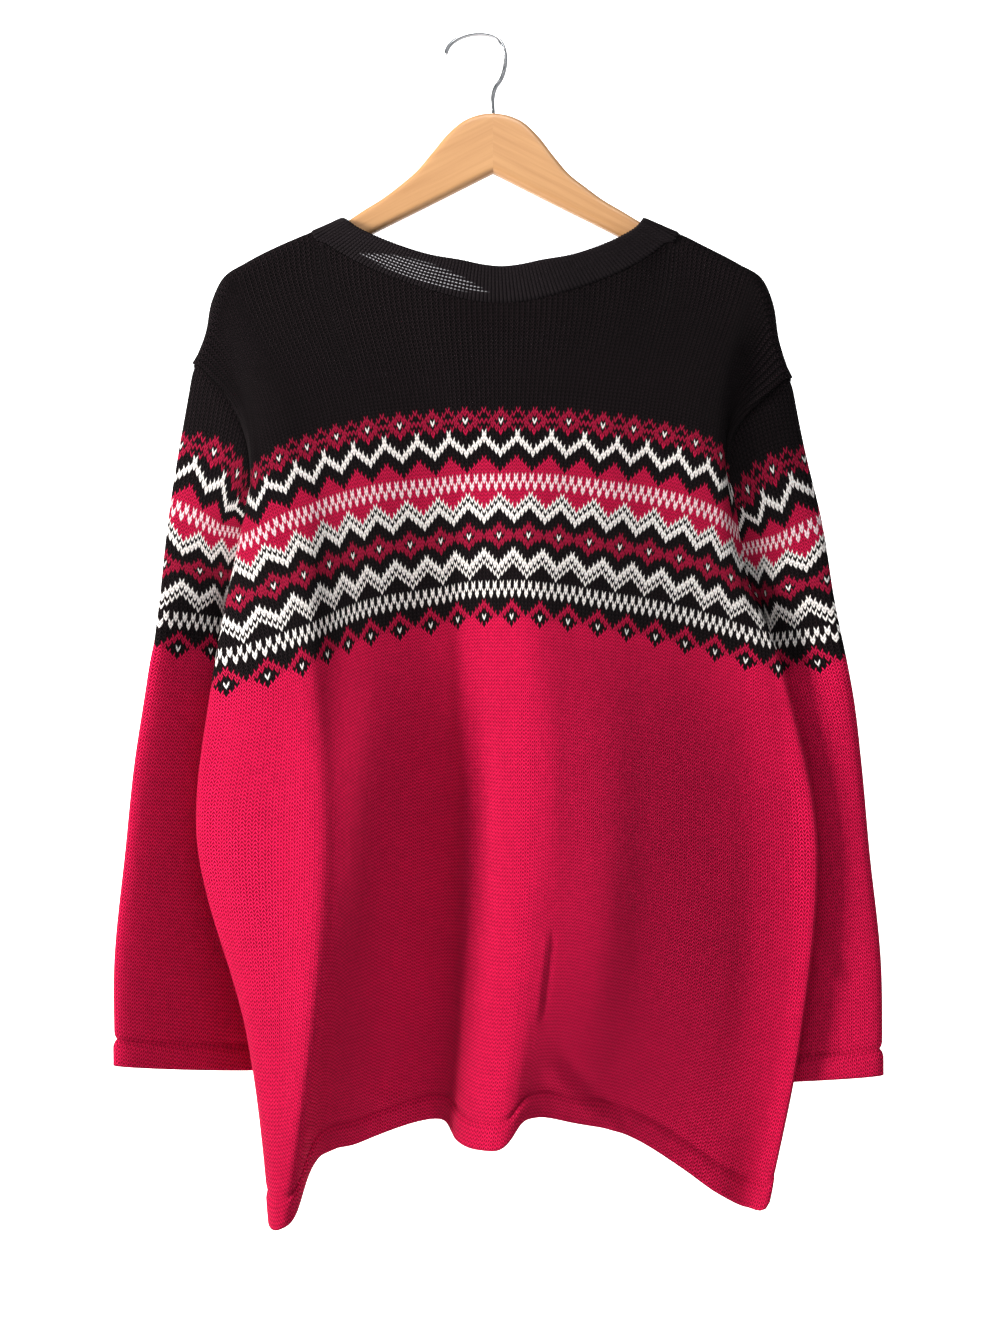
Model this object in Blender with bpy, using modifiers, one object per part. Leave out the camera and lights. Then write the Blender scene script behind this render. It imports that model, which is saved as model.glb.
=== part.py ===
"""A knitted fair isle jumper hanging on a flat wooden hanger.

Metres, +Z up. The origin is where the hook's crown rests on a rail, X runs along the hanger and
the back of the jumper faces -Y. The tables' x is measured from the hanger's joint. Every cloth
piece is an open surface worked out from its folds, with a Solidify modifier for the thickness of
the knit.
"""
import math
from collections import namedtuple

import bmesh
import bpy
import numpy as np

# How far the hanger's joint stands to the right of the hook's crown.
HANG_X = 0.011

# Cloth.
WALL = 0.0022
HEM_WALL = 0.0034
HEM_HEIGHT = 0.020
SEAM_GAP = 0.0010
GROOVE_GAP = 0.0022
NECK_GAP = 0.0015
SLEEVE_GAP = 0.0023

# Heights of the body's cloth, measured up from the hem along the centre column.
HEM_LINE_Z = -0.871
LOW, MIDDLE, BAND, CHEST = 0.130, 0.290, 0.405, 0.560
UNDERARM = 0.460
SHOULDER_NECK_HEIGHT = 0.728
SHOULDER_TIP_HEIGHT = 0.700
NECK_SHARE = 0.517
NECK_TURN_FROM = 0.492
WRAP_RADIUS = 0.0095
TIP_RADIUS = 0.0060
ARMHOLE_DEPTH = 0.013
RIGHT_TUCK, RIGHT_TUCK_HEIGHT, RIGHT_TUCK_SPAN = 0.009, 0.475, 0.075
UNDERARM_NOTCH = 0.0035
UNDERARM_OUT = 0.0036

# Mesh steps. Columns are places across half a panel, closer where the knit bends more.
BACK_COLUMNS = (
    0.0, 0.055, 0.11, 0.165, 0.22, 0.28, 0.34, 0.40, 0.45, 0.475, 0.492, 0.505, 0.517,
    0.55, 0.60, 0.66, 0.72, 0.77, 0.82, 0.87, 0.91, 0.945, 0.97, 0.985, 1.0,
)
FRONT_COLUMNS = (
    0.0, 0.08, 0.16, 0.24, 0.32, 0.40, 0.46, 0.492, 0.505, 0.517,
    0.57, 0.64, 0.71, 0.78, 0.85, 0.91, 0.955, 0.98, 1.0,
)
BACK_ROWS, FRONT_ROWS = 17, 13
YOKE_ROWS, WRAP_ROWS = 6, 3
HEM_ROWS = 3
SLEEVE_COLUMNS, SLEEVE_ROWS = 24, 19

# Neckband.
RIB_COUNT = 214
RIB_RELIEF = 0.0007
BAND_WALL = 0.0022

# Hanger.
ARM_THICKNESS = 0.011
ARM_ROUNDING = 0.0042
ARM_JOINT_GAP = 0.0003
WIRE_RADIUS = 0.0017

Fold = namedtuple("Fold", "across hem low middle band chest sag_hem sag_band sag_chest")

# One row for each fold of the back, from its left seam to its right seam. Each pair is the
# fold's x and y at that height, and sag is how far the knit hangs below the centre column. Both
# are in millimetres.
BACK_FOLDS = (
    Fold(-1.000, (-160, 10), (-184, 6), (-223, 4), (-212, 2), (-190, 2), 38, 56, 50),
    Fold(-0.955, (-168, -10), (-192, -10), (-234, -10), (-222, -12), (-188, -22), 49, 54, 46),
    Fold(-0.880, (-172, -36), (-194, -34), (-217, -30), (-200, -27), (-182, -29), 59, 51, 41),
    Fold(-0.760, (-162, -59), (-168, -56), (-171, -47), (-163, -36), (-160, -31), 62, 41, 27),
    Fold(-0.620, (-145, -26), (-143, -32), (-137, -34), (-135, -27), (-133, -28), 30, 29, 17),
    Fold(-0.430, (-107, -2), (-101, -6), (-98, -14), (-97, -15), (-93, -27), 11, 15, 8),
    Fold(-0.190, (-39, 5), (-38, 0), (-38, -6), (-39, -9), (-39, -26), -1, 4, 3),
    Fold(-0.090, (-30, -22), (-19, -22), (-16, -22), (-17, -20), (-15, -27), 4, 0, 2),
    Fold(0.020, (-8, -50), (4, -46), (10, -38), (9, -31), (11, -28), 4, 0, 2),
    Fold(0.120, (17, -34), (27, -30), (31, -28), (29, -23), (34, -28), 1, 1, 2),
    Fold(0.240, (29, 1), (44, -4), (56, -14), (58, -16), (62, -28), -6, 4, 3),
    Fold(0.500, (97, 5), (112, 1), (120, -6), (122, -10), (119, -27), 5, 14, 9),
    Fold(0.720, (152, -6), (177, -1), (182, -6), (174, -9), (165, -27), 35, 26, 21),
    Fold(0.800, (176, -18), (199, -8), (204, -12), (194, -14), (178, -25), 49, 31, 28),
    Fold(0.900, (203, -38), (228, -23), (233, -22), (218, -20), (182, -17), 58, 38, 36),
    Fold(0.960, (219, -30), (243, -22), (255, -16), (229, -13), (184, -10), 55, 40, 40),
    Fold(1.000, (220, -2), (239, 0), (250, 1), (227, 1), (185, 2), 42, 44, 44),
)

# The front hangs on the wall side, in wider folds.
FRONT_FOLDS = (
    Fold(-1.000, (-160, 10), (-184, 6), (-223, 4), (-212, 2), (-190, 2), 38, 56, 50),
    Fold(-0.930, (-165, 29), (-181, 16), (-210, 13), (-201, 9), (-187, 18), 46, 54, 46),
    Fold(-0.720, (-137, 60), (-148, 30), (-162, 21), (-158, 15), (-150, 24), 40, 36, 24),
    Fold(-0.480, (-86, 31), (-96, 23), (-108, 19), (-107, 17), (-101, 26), 14, 18, 10),
    Fold(-0.220, (-34, 68), (-40, 52), (-46, 36), (-48, 26), (-45, 27), 0, 5, 3),
    Fold(0.040, (24, 33), (20, 27), (16, 24), (10, 22), (12, 27), 0, 0, 2),
    Fold(0.300, (82, 69), (80, 55), (78, 38), (72, 26), (68, 27), 4, 6, 4),
    Fold(0.540, (134, 34), (136, 26), (134, 22), (130, 18), (124, 27), 14, 16, 11),
    Fold(0.760, (182, 58), (186, 32), (186, 22), (175, 15), (160, 24), 36, 30, 24),
    Fold(0.940, (213, 21), (226, 15), (238, 12), (216, 9), (181, 18), 46, 40, 38),
    Fold(1.000, (220, -2), (239, 0), (250, 1), (227, 1), (185, 2), 42, 44, 44),
)

NeckPoint = namedtuple("NeckPoint", "across x z depth height")

# The neck seam from the centre to where it climbs over the hanger.
BACK_NECK = (
    NeckPoint(0.000, .000, -.2195, .024, .653),
    NeckPoint(0.085, .024, -.2172, .024, .656),
    NeckPoint(0.175, .050, -.2105, .023, .663),
    NeckPoint(0.267, .076, -.2015, .020, .672),
    NeckPoint(0.354, .101, -.1905, .017, .686),
    NeckPoint(0.425, .121, -.1790, .0135, .699),
    NeckPoint(0.475, .1345, -.1690, .0105, .712),
)
FRONT_NECK = (
    NeckPoint(0.000, .000, -.2330, .022, .640),
    NeckPoint(0.085, .024, -.2318, .022, .641),
    NeckPoint(0.175, .050, -.2268, .021, .646),
    NeckPoint(0.267, .076, -.2170, .019, .657),
    NeckPoint(0.354, .101, -.2030, .017, .672),
    NeckPoint(0.425, .121, -.1865, .014, .690),
    NeckPoint(0.475, .1345, -.1700, .0105, .710),
)
NECK_CENTRE_X = 0.0065

# The band's free edge, from the centre to the hanger.
BandPoint = namedtuple("BandPoint", "share x z depth")
BACK_BAND_EDGE = (
    BandPoint(0.00, .000, -.1902, .022),
    BandPoint(0.12, .0145, -.1888, .022),
    BandPoint(0.25, .030, -.1855, .022),
    BandPoint(0.50, .0605, -.1792, .020),
    BandPoint(0.72, .092, -.1668, .016),
    BandPoint(0.88, .1115, -.1555, .0115),
    BandPoint(0.95, .1172, -.1497, .0085),
    BandPoint(1.00, .120, -.1463, .0000),
)
FRONT_BAND_EDGE = (
    BandPoint(0.00, .000, -.2040, .020),
    BandPoint(0.12, .0145, -.2035, .020),
    BandPoint(0.25, .030, -.2013, .020),
    BandPoint(0.50, .0605, -.1935, .018),
    BandPoint(0.72, .092, -.1780, .015),
    BandPoint(0.88, .1115, -.1605, .0115),
    BandPoint(0.95, .1172, -.1505, .0085),
    BandPoint(1.00, .120, -.1463, .0000),
)

CrestPoint = namedtuple("CrestPoint", "across x z")

# The shoulder seam: along the hanger, then dropping past its end.
LEFT_CREST = (
    CrestPoint(0.440, .120, -.1470),
    CrestPoint(0.517, .1445, -.1580),
    CrestPoint(0.600, .170, -.1688),
    CrestPoint(0.700, .197, -.1826),
    CrestPoint(0.780, .2155, -.1952),
    CrestPoint(0.840, .2240, -.2130),
    CrestPoint(0.920, .2290, -.2380),
    CrestPoint(1.000, .2385, -.2630),
)
RIGHT_CREST = (
    CrestPoint(0.440, .120, -.1470),
    CrestPoint(0.517, .1480, -.1592),
    CrestPoint(0.600, .171, -.1705),
    CrestPoint(0.700, .196, -.1836),
    CrestPoint(0.780, .2150, -.1960),
    CrestPoint(0.840, .2232, -.2148),
    CrestPoint(0.920, .2280, -.2440),
    CrestPoint(1.000, .2375, -.2742),
)

SleeveRing = namedtuple("SleeveRing", "outer_z inner_z outer_x inner_x outer_y inner_y thickness")

# Rings down each sleeve, a flattened tube whose inner edge lies behind the body.
LEFT_SLEEVE = (
    SleeveRing(-.262, -.262, .2400, .2000, .000, .002, .012),
    SleeveRing(-.330, -.330, .2508, .2010, .001, .002, .016),
    SleeveRing(-.400, -.400, .2605, .2030, .002, .002, .016),
    SleeveRing(-.455, -.455, .2672, .2090, .005, .007, .015),
    SleeveRing(-.468, -.468, .2692, .2125, .006, .0140, .016),
    SleeveRing(-.482, -.482, .2712, .2120, .007, .0225, .018),
    SleeveRing(-.500, -.501, .2750, .2050, .008, .032, .020),
    SleeveRing(-.530, -.532, .2802, .1930, .010, .043, .023),
    SleeveRing(-.580, -.583, .2880, .1800, .010, .053, .023),
    SleeveRing(-.650, -.656, .2955, .1750, .010, .058, .022),
    SleeveRing(-.740, -.751, .3040, .1840, .008, .052, .020),
    SleeveRing(-.820, -.838, .3030, .1920, .006, .044, .017),
)
RIGHT_SLEEVE = (
    SleeveRing(-.274, -.274, .2390, .1940, .000, .002, .012),
    SleeveRing(-.330, -.330, .2492, .1950, .001, .002, .016),
    SleeveRing(-.400, -.400, .2645, .1985, .002, .002, .016),
    SleeveRing(-.447, -.447, .2725, .2105, .005, .007, .015),
    SleeveRing(-.460, -.460, .2752, .2180, .006, .0145, .016),
    SleeveRing(-.475, -.475, .2785, .2225, .007, .0230, .018),
    SleeveRing(-.495, -.496, .2830, .2205, .008, .032, .020),
    SleeveRing(-.530, -.532, .2900, .2120, .010, .044, .023),
    SleeveRing(-.580, -.583, .2960, .2030, .010, .054, .023),
    SleeveRing(-.650, -.656, .3025, .2000, .010, .058, .022),
    SleeveRing(-.740, -.751, .3115, .2030, .008, .052, .020),
    SleeveRing(-.828, -.842, .3120, .2060, .006, .044, .017),
)
UNDERARM_FADE, SHOULDER_FADE = 0.030, 0.110

ArmPoint = namedtuple("ArmPoint", "x left_z right_z")

# The hanger's outline on each side, from the top of the joint round to its underside.
ARM_OUTLINE = (
    ArmPoint(.0000, -.0624, -.0624), ArmPoint(.0110, -.0637, -.0640),
    ArmPoint(.0234, -.0686, -.0692), ArmPoint(.0360, -.0790, -.0807),
    ArmPoint(.0488, -.0942, -.0970), ArmPoint(.0616, -.1092, -.1118),
    ArmPoint(.0744, -.1202, -.1218), ArmPoint(.0880, -.1305, -.1318),
    ArmPoint(.1040, -.1405, -.1412), ArmPoint(.1190, -.1503, -.1502),
    ArmPoint(.1440, -.1624, -.1620), ArmPoint(.1690, -.1734, -.1734),
    ArmPoint(.1950, -.1870, -.1874), ArmPoint(.2050, -.1948, -.1954),
    ArmPoint(.2110, -.2025, -.2032), ArmPoint(.2125, -.2105, -.2110),
    ArmPoint(.2085, -.2160, -.2165), ArmPoint(.2010, -.2148, -.2153),
    ArmPoint(.1500, -.1868, -.1872), ArmPoint(.0976, -.1592, -.1592),
    ArmPoint(.0480, -.1344, -.1344), ArmPoint(.0000, -.1102, -.1102),
)

WirePoint = namedtuple("WirePoint", "x z")

# The hook's wire: its stem, its bend out to the right and its round crown.
WIRE = (
    WirePoint(.0000, -.0628), WirePoint(-.0004, -.0545), WirePoint(-.0002, -.0490),
    WirePoint(.0020, -.0412), WirePoint(.0062, -.0350), WirePoint(.0092, -.0262),
    WirePoint(.0098, -.0160), WirePoint(.0076, -.0075), WirePoint(.0030, -.0016),
    WirePoint(-.0034, .0010), WirePoint(-.0110, .0018), WirePoint(-.0186, .0010),
    WirePoint(-.0265, -.0016), WirePoint(-.0325, -.0054), WirePoint(-.0362, -.0098),
    WirePoint(-.0376, -.0136),
)
WIRE_STEPS = 30


def smooth_curve(knots, rows, places):
    """Read a smooth cubic that passes through the rows of values at their knots."""
    knots = np.asarray(knots, float)
    rows = np.asarray(rows, float)
    slopes = np.gradient(rows, knots, axis=0)
    places = np.asarray(places, float)
    cell = np.clip(np.searchsorted(knots, places) - 1, 0, len(knots) - 2)
    width = knots[cell + 1] - knots[cell]
    part = (places - knots[cell]) / width
    if rows.ndim > 1:
        part, width = part[..., None], width[..., None]
    rise = part * part * (3.0 - 2.0 * part)
    leave = part * (1.0 - part) ** 2
    arrive = part * part * (part - 1.0)
    blended = rows[cell] * (1.0 - rise) + rows[cell + 1] * rise
    return blended + width * (slopes[cell] * leave + slopes[cell + 1] * arrive)


def ease(share):
    """Rise smoothly from 0 to 1 as the share does."""
    share = np.clip(share, 0.0, 1.0)
    return share * share * (3.0 - 2.0 * share)


def material(name, color, roughness, metallic=0.0):
    made = bpy.data.materials.new(name)
    made.use_nodes = True
    shader = made.node_tree.nodes["Principled BSDF"]
    shader.inputs["Base Color"].default_value = (*color, 1.0)
    shader.inputs["Roughness"].default_value = roughness
    shader.inputs["Metallic"].default_value = metallic
    return made


def body_point(folds, across, height):
    """A panel's point below the chest, from its folds: across is -1 to 1, height is up the cloth."""
    levels = (0.0, LOW, MIDDLE, BAND, CHEST)
    places = [fold.across for fold in folds]
    shape = 0.001 * np.array([(*f.hem, *f.low, *f.middle, *f.band, *f.chest) for f in folds])
    hang = 0.001 * np.array([(f.sag_hem, f.sag_band, f.sag_chest) for f in folds])
    read = smooth_curve(places, shape, across).reshape(*np.shape(across), 5, 2)
    sags = smooth_curve(places, hang, across)
    flat = read.reshape(-1, 5, 2)
    rise = np.ravel(height)
    x = np.array([smooth_curve(levels, row[:, 0], h) for row, h in zip(flat, rise)])
    y = np.array([smooth_curve(levels, row[:, 1], h) for row, h in zip(flat, rise)])
    hangs = sags.reshape(-1, 3)
    drop = np.array([smooth_curve((0.0, BAND, CHEST), row, h) for row, h in zip(hangs, rise)])
    z = HEM_LINE_Z + rise - drop
    nearness = 1.0 - np.clip(np.abs(rise - RIGHT_TUCK_HEIGHT) / RIGHT_TUCK_SPAN, 0.0, 1.0)
    x = x - RIGHT_TUCK * ease(nearness) * ease((np.ravel(across) - 0.65) / 0.3)
    return np.stack([x, y, z], -1).reshape(*np.shape(across), 3)


def armhole_depth(height):
    """How far each panel's edge stands from the seam plane between the underarm and the shoulder."""
    share = np.clip((height - UNDERARM) / (SHOULDER_TIP_HEIGHT - UNDERARM), 0.0, 1.0)
    return ARMHOLE_DEPTH * np.sin(math.pi * share) ** np.where(share < 0.5, 1.3, 0.8)


def crest(across):
    """The shoulder seam's x and z, and its outward direction, at a place across the panel."""
    side = np.where(across < 0, -1.0, 1.0)
    share = np.abs(across)
    found = []
    for rows in (LEFT_CREST, RIGHT_CREST):
        knots = [row.across for row in rows]
        line = [(row.x, row.z) for row in rows]
        here = smooth_curve(knots, line, share)
        ahead = smooth_curve(knots, line, share + 0.004) - smooth_curve(knots, line, share - 0.004)
        ahead = ahead / np.linalg.norm(ahead, axis=-1, keepdims=True)
        found.append(np.concatenate([here, -ahead[..., 1:], ahead[..., :1]], -1))
    both = np.where((across < 0)[..., None], found[0], found[1])
    both[..., 0] *= side
    both[..., 2] *= side
    return both


def both_sides(knots, rows):
    """Mirror a half's rows, whose first value is x, to the left of the centre row."""
    knots = list(knots)
    rows = [tuple(row) for row in rows]
    left = [(-row[0], *row[1:]) for row in rows[:0:-1]]
    return [-knot for knot in knots[:0:-1]] + knots, left + rows


def top_line(neck, across):
    """Where each column turns over the top: its x, z, depth, outward x and z, turn and height."""
    share = np.abs(across)
    side = np.where(across < 0, -1.0, 1.0)
    over = crest(across)
    radius = WRAP_RADIUS + (TIP_RADIUS - WRAP_RADIUS) * ease((share - 0.80) / 0.20)
    shoulder_x = over[..., 0] - radius * over[..., 2]
    shoulder_z = over[..., 1] - radius * over[..., 3]
    last = neck[-1]
    knots, line = both_sides([row.across for row in neck], [(r.x, r.z, r.depth, r.height) for r in neck])
    near = smooth_curve(knots, line, np.clip(across, -last.across, last.across))
    edge = crest(side * NECK_SHARE)
    slide = ease((share - last.across) / (NECK_TURN_FROM - last.across))
    rim_x = edge[..., 0] - WRAP_RADIUS * edge[..., 2]
    rim_z = edge[..., 1] - WRAP_RADIUS * edge[..., 3]
    reach = np.minimum(share, NECK_SHARE) / NECK_SHARE
    neck_x = NECK_CENTRE_X * (1.0 - reach ** 4) + near[..., 0]
    neck_x = neck_x + (rim_x - neck_x) * slide
    neck_z = near[..., 1] + (rim_z - near[..., 1]) * slide
    neck_depth = near[..., 2] + (WRAP_RADIUS - near[..., 2]) * slide
    neck_height = near[..., 3] + (SHOULDER_NECK_HEIGHT - near[..., 3]) * slide
    on_neck = share < NECK_SHARE
    slope = (share - NECK_SHARE) / (1.0 - NECK_SHARE)
    shoulder_height = SHOULDER_NECK_HEIGHT + (SHOULDER_TIP_HEIGHT - SHOULDER_NECK_HEIGHT) * slope
    turn = 0.5 * math.pi * np.clip((share - NECK_TURN_FROM) / (NECK_SHARE - NECK_TURN_FROM), 0.0, 1.0)
    return (
        np.where(on_neck, neck_x, shoulder_x),
        np.where(on_neck, neck_z, shoulder_z),
        np.where(on_neck, neck_depth, radius),
        np.where(on_neck, edge[..., 2], over[..., 2]),
        np.where(on_neck, edge[..., 3], over[..., 3]),
        turn,
        np.where(on_neck, neck_height, shoulder_height),
    )


def panel_grid(folds, neck, facing, across, body_rows):
    """Points of a whole panel, row by row from the hem to the shoulder and neck seams."""
    top_x, top_z, depth, out_x, out_z, turn, height = top_line(neck, across)
    hem_steps = [0.0, 0.5 * HEM_HEIGHT, HEM_HEIGHT, 1.25 * HEM_HEIGHT]
    steps = hem_steps + list(np.linspace(1.25 * HEM_HEIGHT, CHEST, body_rows)[1:])
    edge = ease((np.abs(across) - 0.93) / 0.07)
    rows = []
    for step in steps:
        row = body_point(folds, across, np.full(across.shape, step))
        row[:, 1] += facing * (armhole_depth(step) + 0.5 * SEAM_GAP) * edge
        rows.append(row)
    chest = rows[-1]
    length = (height - CHEST)[:, None]
    lean = math.radians(45.0) * np.clip((np.abs(across) - 0.5) / 0.5, 0.0, 1.0) ** 1.5
    side = np.where(across < 0, -1.0, 1.0)
    start = np.stack([0.0 * lean, 0.0 * lean, 1.0 + 0.0 * lean], -1) * length
    finish = np.stack([side * np.sin(lean), 0.0 * lean, np.cos(lean)], -1) * length
    target = np.stack([top_x, facing * depth, top_z], -1)
    arc_from = 1.0 - WRAP_ROWS / (YOKE_ROWS + WRAP_ROWS) * turn / (0.5 * math.pi)
    radius = np.minimum(depth, WRAP_RADIUS)
    for step in np.linspace(0.0, 1.0, YOKE_ROWS + WRAP_ROWS + 1)[1:]:
        share = np.minimum(step / arc_from, 1.0)[:, None]
        angle = turn * np.clip((step - arc_from) / np.maximum(1.0 - arc_from, 0.001), 0.0, 1.0)
        rise = share * share * (3.0 - 2.0 * share)
        row = chest * (1.0 - rise) + target * rise
        row = row + start * share * (1.0 - share) ** 2 + finish * share * share * (share - 1.0)
        up = CHEST + share[:, 0] * (height - CHEST)
        row[:, 1] += facing * (armhole_depth(up) - armhole_depth(CHEST) * (1.0 - rise[:, 0])) * edge
        row[:, 0] += radius * np.sin(angle) * out_x
        row[:, 2] += radius * np.sin(angle) * out_z
        inward = radius * (1.0 - np.cos(angle))
        row[:, 1] -= facing * np.minimum(inward, depth - 0.5 * SEAM_GAP)
        rows.append(row)
    return np.array(rows)


def grid_object(name, grid, closed, finish, thickness, flip):
    """An open grid surface as an object, thickened evenly to both sides and more at its hem."""
    count, across = grid.shape[:2]
    number = np.arange(count * across).reshape(count, across)
    if closed:
        ahead = np.roll(number, -1, axis=1)
        corners = (number[:-1], ahead[:-1], ahead[1:], number[1:])
    else:
        corners = (number[:-1, :-1], number[:-1, 1:], number[1:, 1:], number[1:, :-1])
    faces = np.stack(corners, -1).reshape(-1, 4)
    if flip:
        faces = faces[:, ::-1]
    mesh = bpy.data.meshes.new(name)
    mesh.from_pydata(grid.reshape(-1, 3).tolist(), [], faces.tolist())
    mesh.shade_smooth()
    made = bpy.data.objects.new(name, mesh)
    made.location.x = HANG_X
    mesh.materials.append(finish)
    group = made.vertex_groups.new(name="turned hem")
    group.add(number[:HEM_ROWS].ravel().tolist(), 1.0, "REPLACE")
    wall = made.modifiers.new("wall", "SOLIDIFY")
    wall.thickness = HEM_WALL
    wall.offset = 0.0
    wall.vertex_group = group.name
    wall.thickness_vertex_group = thickness / HEM_WALL
    PARTS.objects.link(made)
    return made


def whole_width(columns):
    """Columns for a whole panel from those of its right half."""
    half = np.array(columns)
    return np.concatenate([-half[:0:-1], half])


def make_panel(name, folds, neck, facing, columns, rows, finish):
    """Front or back: one knitted panel with its hem turned up."""
    grid = panel_grid(folds, neck, facing, whole_width(columns), rows)
    grid[:, 0] = pull_in(grid[:, 0], grid[:, 1], 0.5 * GROOVE_GAP)
    grid[:, -1] = pull_in(grid[:, -1], grid[:, -2], 0.5 * GROOVE_GAP)
    return grid_object(name, grid, False, finish, WALL, facing > 0)


def pull_in(edge, inner, distance):
    """Move an edge's points towards the next line of points, for a seam's gap."""
    step = inner - edge
    return edge + step * (distance / np.linalg.norm(step, axis=-1, keepdims=True))


def armhole_loop(side, steps):
    """The armhole's points, from the underarm up the back edge, over the shoulder and down."""
    across = np.array([side * 1.0, side * 0.985])
    underarm_z = body_point(BACK_FOLDS, across[:1], np.array([UNDERARM]))[0, 2]
    halves = []
    for folds, neck, facing in ((BACK_FOLDS, BACK_NECK, -1.0), (FRONT_FOLDS, FRONT_NECK, 1.0)):
        grid = panel_grid(folds, neck, facing, across, 60)
        line = 2.0 * grid[:, 0] - pull_in(grid[:, 0], grid[:, 1], SLEEVE_GAP)
        run = np.concatenate([[0.0], np.cumsum(np.linalg.norm(np.diff(line, axis=0), axis=1))])
        start = np.interp(underarm_z + UNDERARM_NOTCH, line[:, 2], run)
        places = np.linspace(start, run[-1], steps + 1)
        halves.append(np.stack([np.interp(places, run, line[:, axis]) for axis in range(3)], -1))
    back, front = halves
    back[0] = 0.5 * (back[0] + front[0]) + np.array([side * UNDERARM_OUT, 0.0, 0.0])
    return np.concatenate([back, front[::-1][1:-1]])


def sleeve_ring(rings, side, turn, z):
    """A point of the sleeve's flattened tube: turn 0 is its inner edge, 0.5 its outer edge."""
    levels = [-ring.outer_z for ring in rings]
    shape = [(r.outer_z, r.inner_z, r.outer_x, r.inner_x, r.outer_y, r.inner_y, r.thickness) for r in rings]
    read = smooth_curve(levels, shape, -z)
    outer_z, inner_z, outer_x, inner_x, outer_y, inner_y, thick = np.moveaxis(read, -1, 0)
    share = 0.5 - 0.5 * np.cos(2.0 * math.pi * turn)
    across = np.sin(2.0 * math.pi * turn)
    swell = np.sign(across) * np.abs(across) ** 0.8
    run_x, run_y = outer_x - inner_x, outer_y - inner_y
    run = np.hypot(run_x, run_y)
    half = 0.5 * thick
    x = inner_x + run_x * share + half * swell * run_y / run
    y = inner_y + run_y * share - half * swell * run_x / run
    return np.stack([side * x, y, inner_z + (outer_z - inner_z) * share], -1)


def sleeve_grid(rings, side, columns, rows):
    """Points of a sleeve, row by row from the cuff up to the armhole."""
    loop = armhole_loop(side, columns // 2)
    turn = np.arange(columns) / columns
    cuff_z = rings[-1].outer_z
    top_z = loop[:, 2]
    made = []
    hem_share = HEM_HEIGHT / (top_z - cuff_z)
    shares = [0.0 * hem_share, 0.5 * hem_share, hem_share, 1.25 * hem_share]
    for place in np.linspace(0.0, 1.0, rows)[1:]:
        shares.append(1.25 * hem_share + (1.0 - 1.25 * hem_share) * (1.0 - (1.0 - place) ** 1.8))
    offset = loop - sleeve_ring(rings, side, turn, top_z)
    fade = UNDERARM_FADE + (SHOULDER_FADE - UNDERARM_FADE) * np.sin(math.pi * turn) ** 2
    for share in shares:
        z = cuff_z + (top_z - cuff_z) * share
        near = 1.0 - np.clip((top_z - z) / fade, 0.0, 1.0)
        weight = near * near * (3.0 - 2.0 * near)
        made.append(sleeve_ring(rings, side, turn, z) + offset * weight[:, None])
    return np.array(made)


def make_sleeve(name, rings, side, finish):
    """A sleeve: a tapered tube, sloped at its cap and turned up at its cuff."""
    grid = sleeve_grid(rings, side, SLEEVE_COLUMNS, SLEEVE_ROWS)
    return grid_object(name, grid, True, finish, WALL, side > 0)


def even_steps(line, count):
    """Points spread evenly along a line, from its first point to just short of its last."""
    run = np.concatenate([[0.0], np.cumsum(np.linalg.norm(np.diff(line, axis=0), axis=1))])
    places = np.arange(count) * (run[-1] / count)
    return np.stack([np.interp(places, run, line[:, axis]) for axis in range(3)], -1)


def neck_loop(count):
    """The neck seam: half its points along the back from left to right, half back along the front."""
    across = np.linspace(-NECK_SHARE, NECK_SHARE, 1201) * 0.9999
    halves = []
    for neck, facing in ((BACK_NECK, -1.0), (FRONT_NECK, 1.0)):
        x, z, depth, out_x, out_z, turn, _ = top_line(neck, across)
        radius = np.minimum(depth, WRAP_RADIUS)
        y = facing * (depth - radius * (1.0 - np.cos(turn)))
        reach = radius * np.sin(turn)
        line = np.stack([x + reach * out_x, y, z + reach * out_z], -1)
        line[[0, -1], 1] = 0.0
        halves.append(even_steps(line[:: int(-facing)], count // 2))
    return np.concatenate(halves)


def band_loop(count):
    """The neckband's free edge, all round in the same way."""
    share = np.linspace(-1.0, 1.0, 1201)
    halves = []
    for rows, facing in ((BACK_BAND_EDGE, -1.0), (FRONT_BAND_EDGE, 1.0)):
        knots, line = both_sides([row.share for row in rows], [(r.x, r.z, r.depth) for r in rows])
        x, z, depth = smooth_curve(knots, line, share).T
        line = np.stack([NECK_CENTRE_X * (1.0 - share ** 4) + x, facing * depth, z], -1)
        halves.append(even_steps(line[:: int(-facing)], count // 2))
    return np.concatenate(halves)


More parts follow.
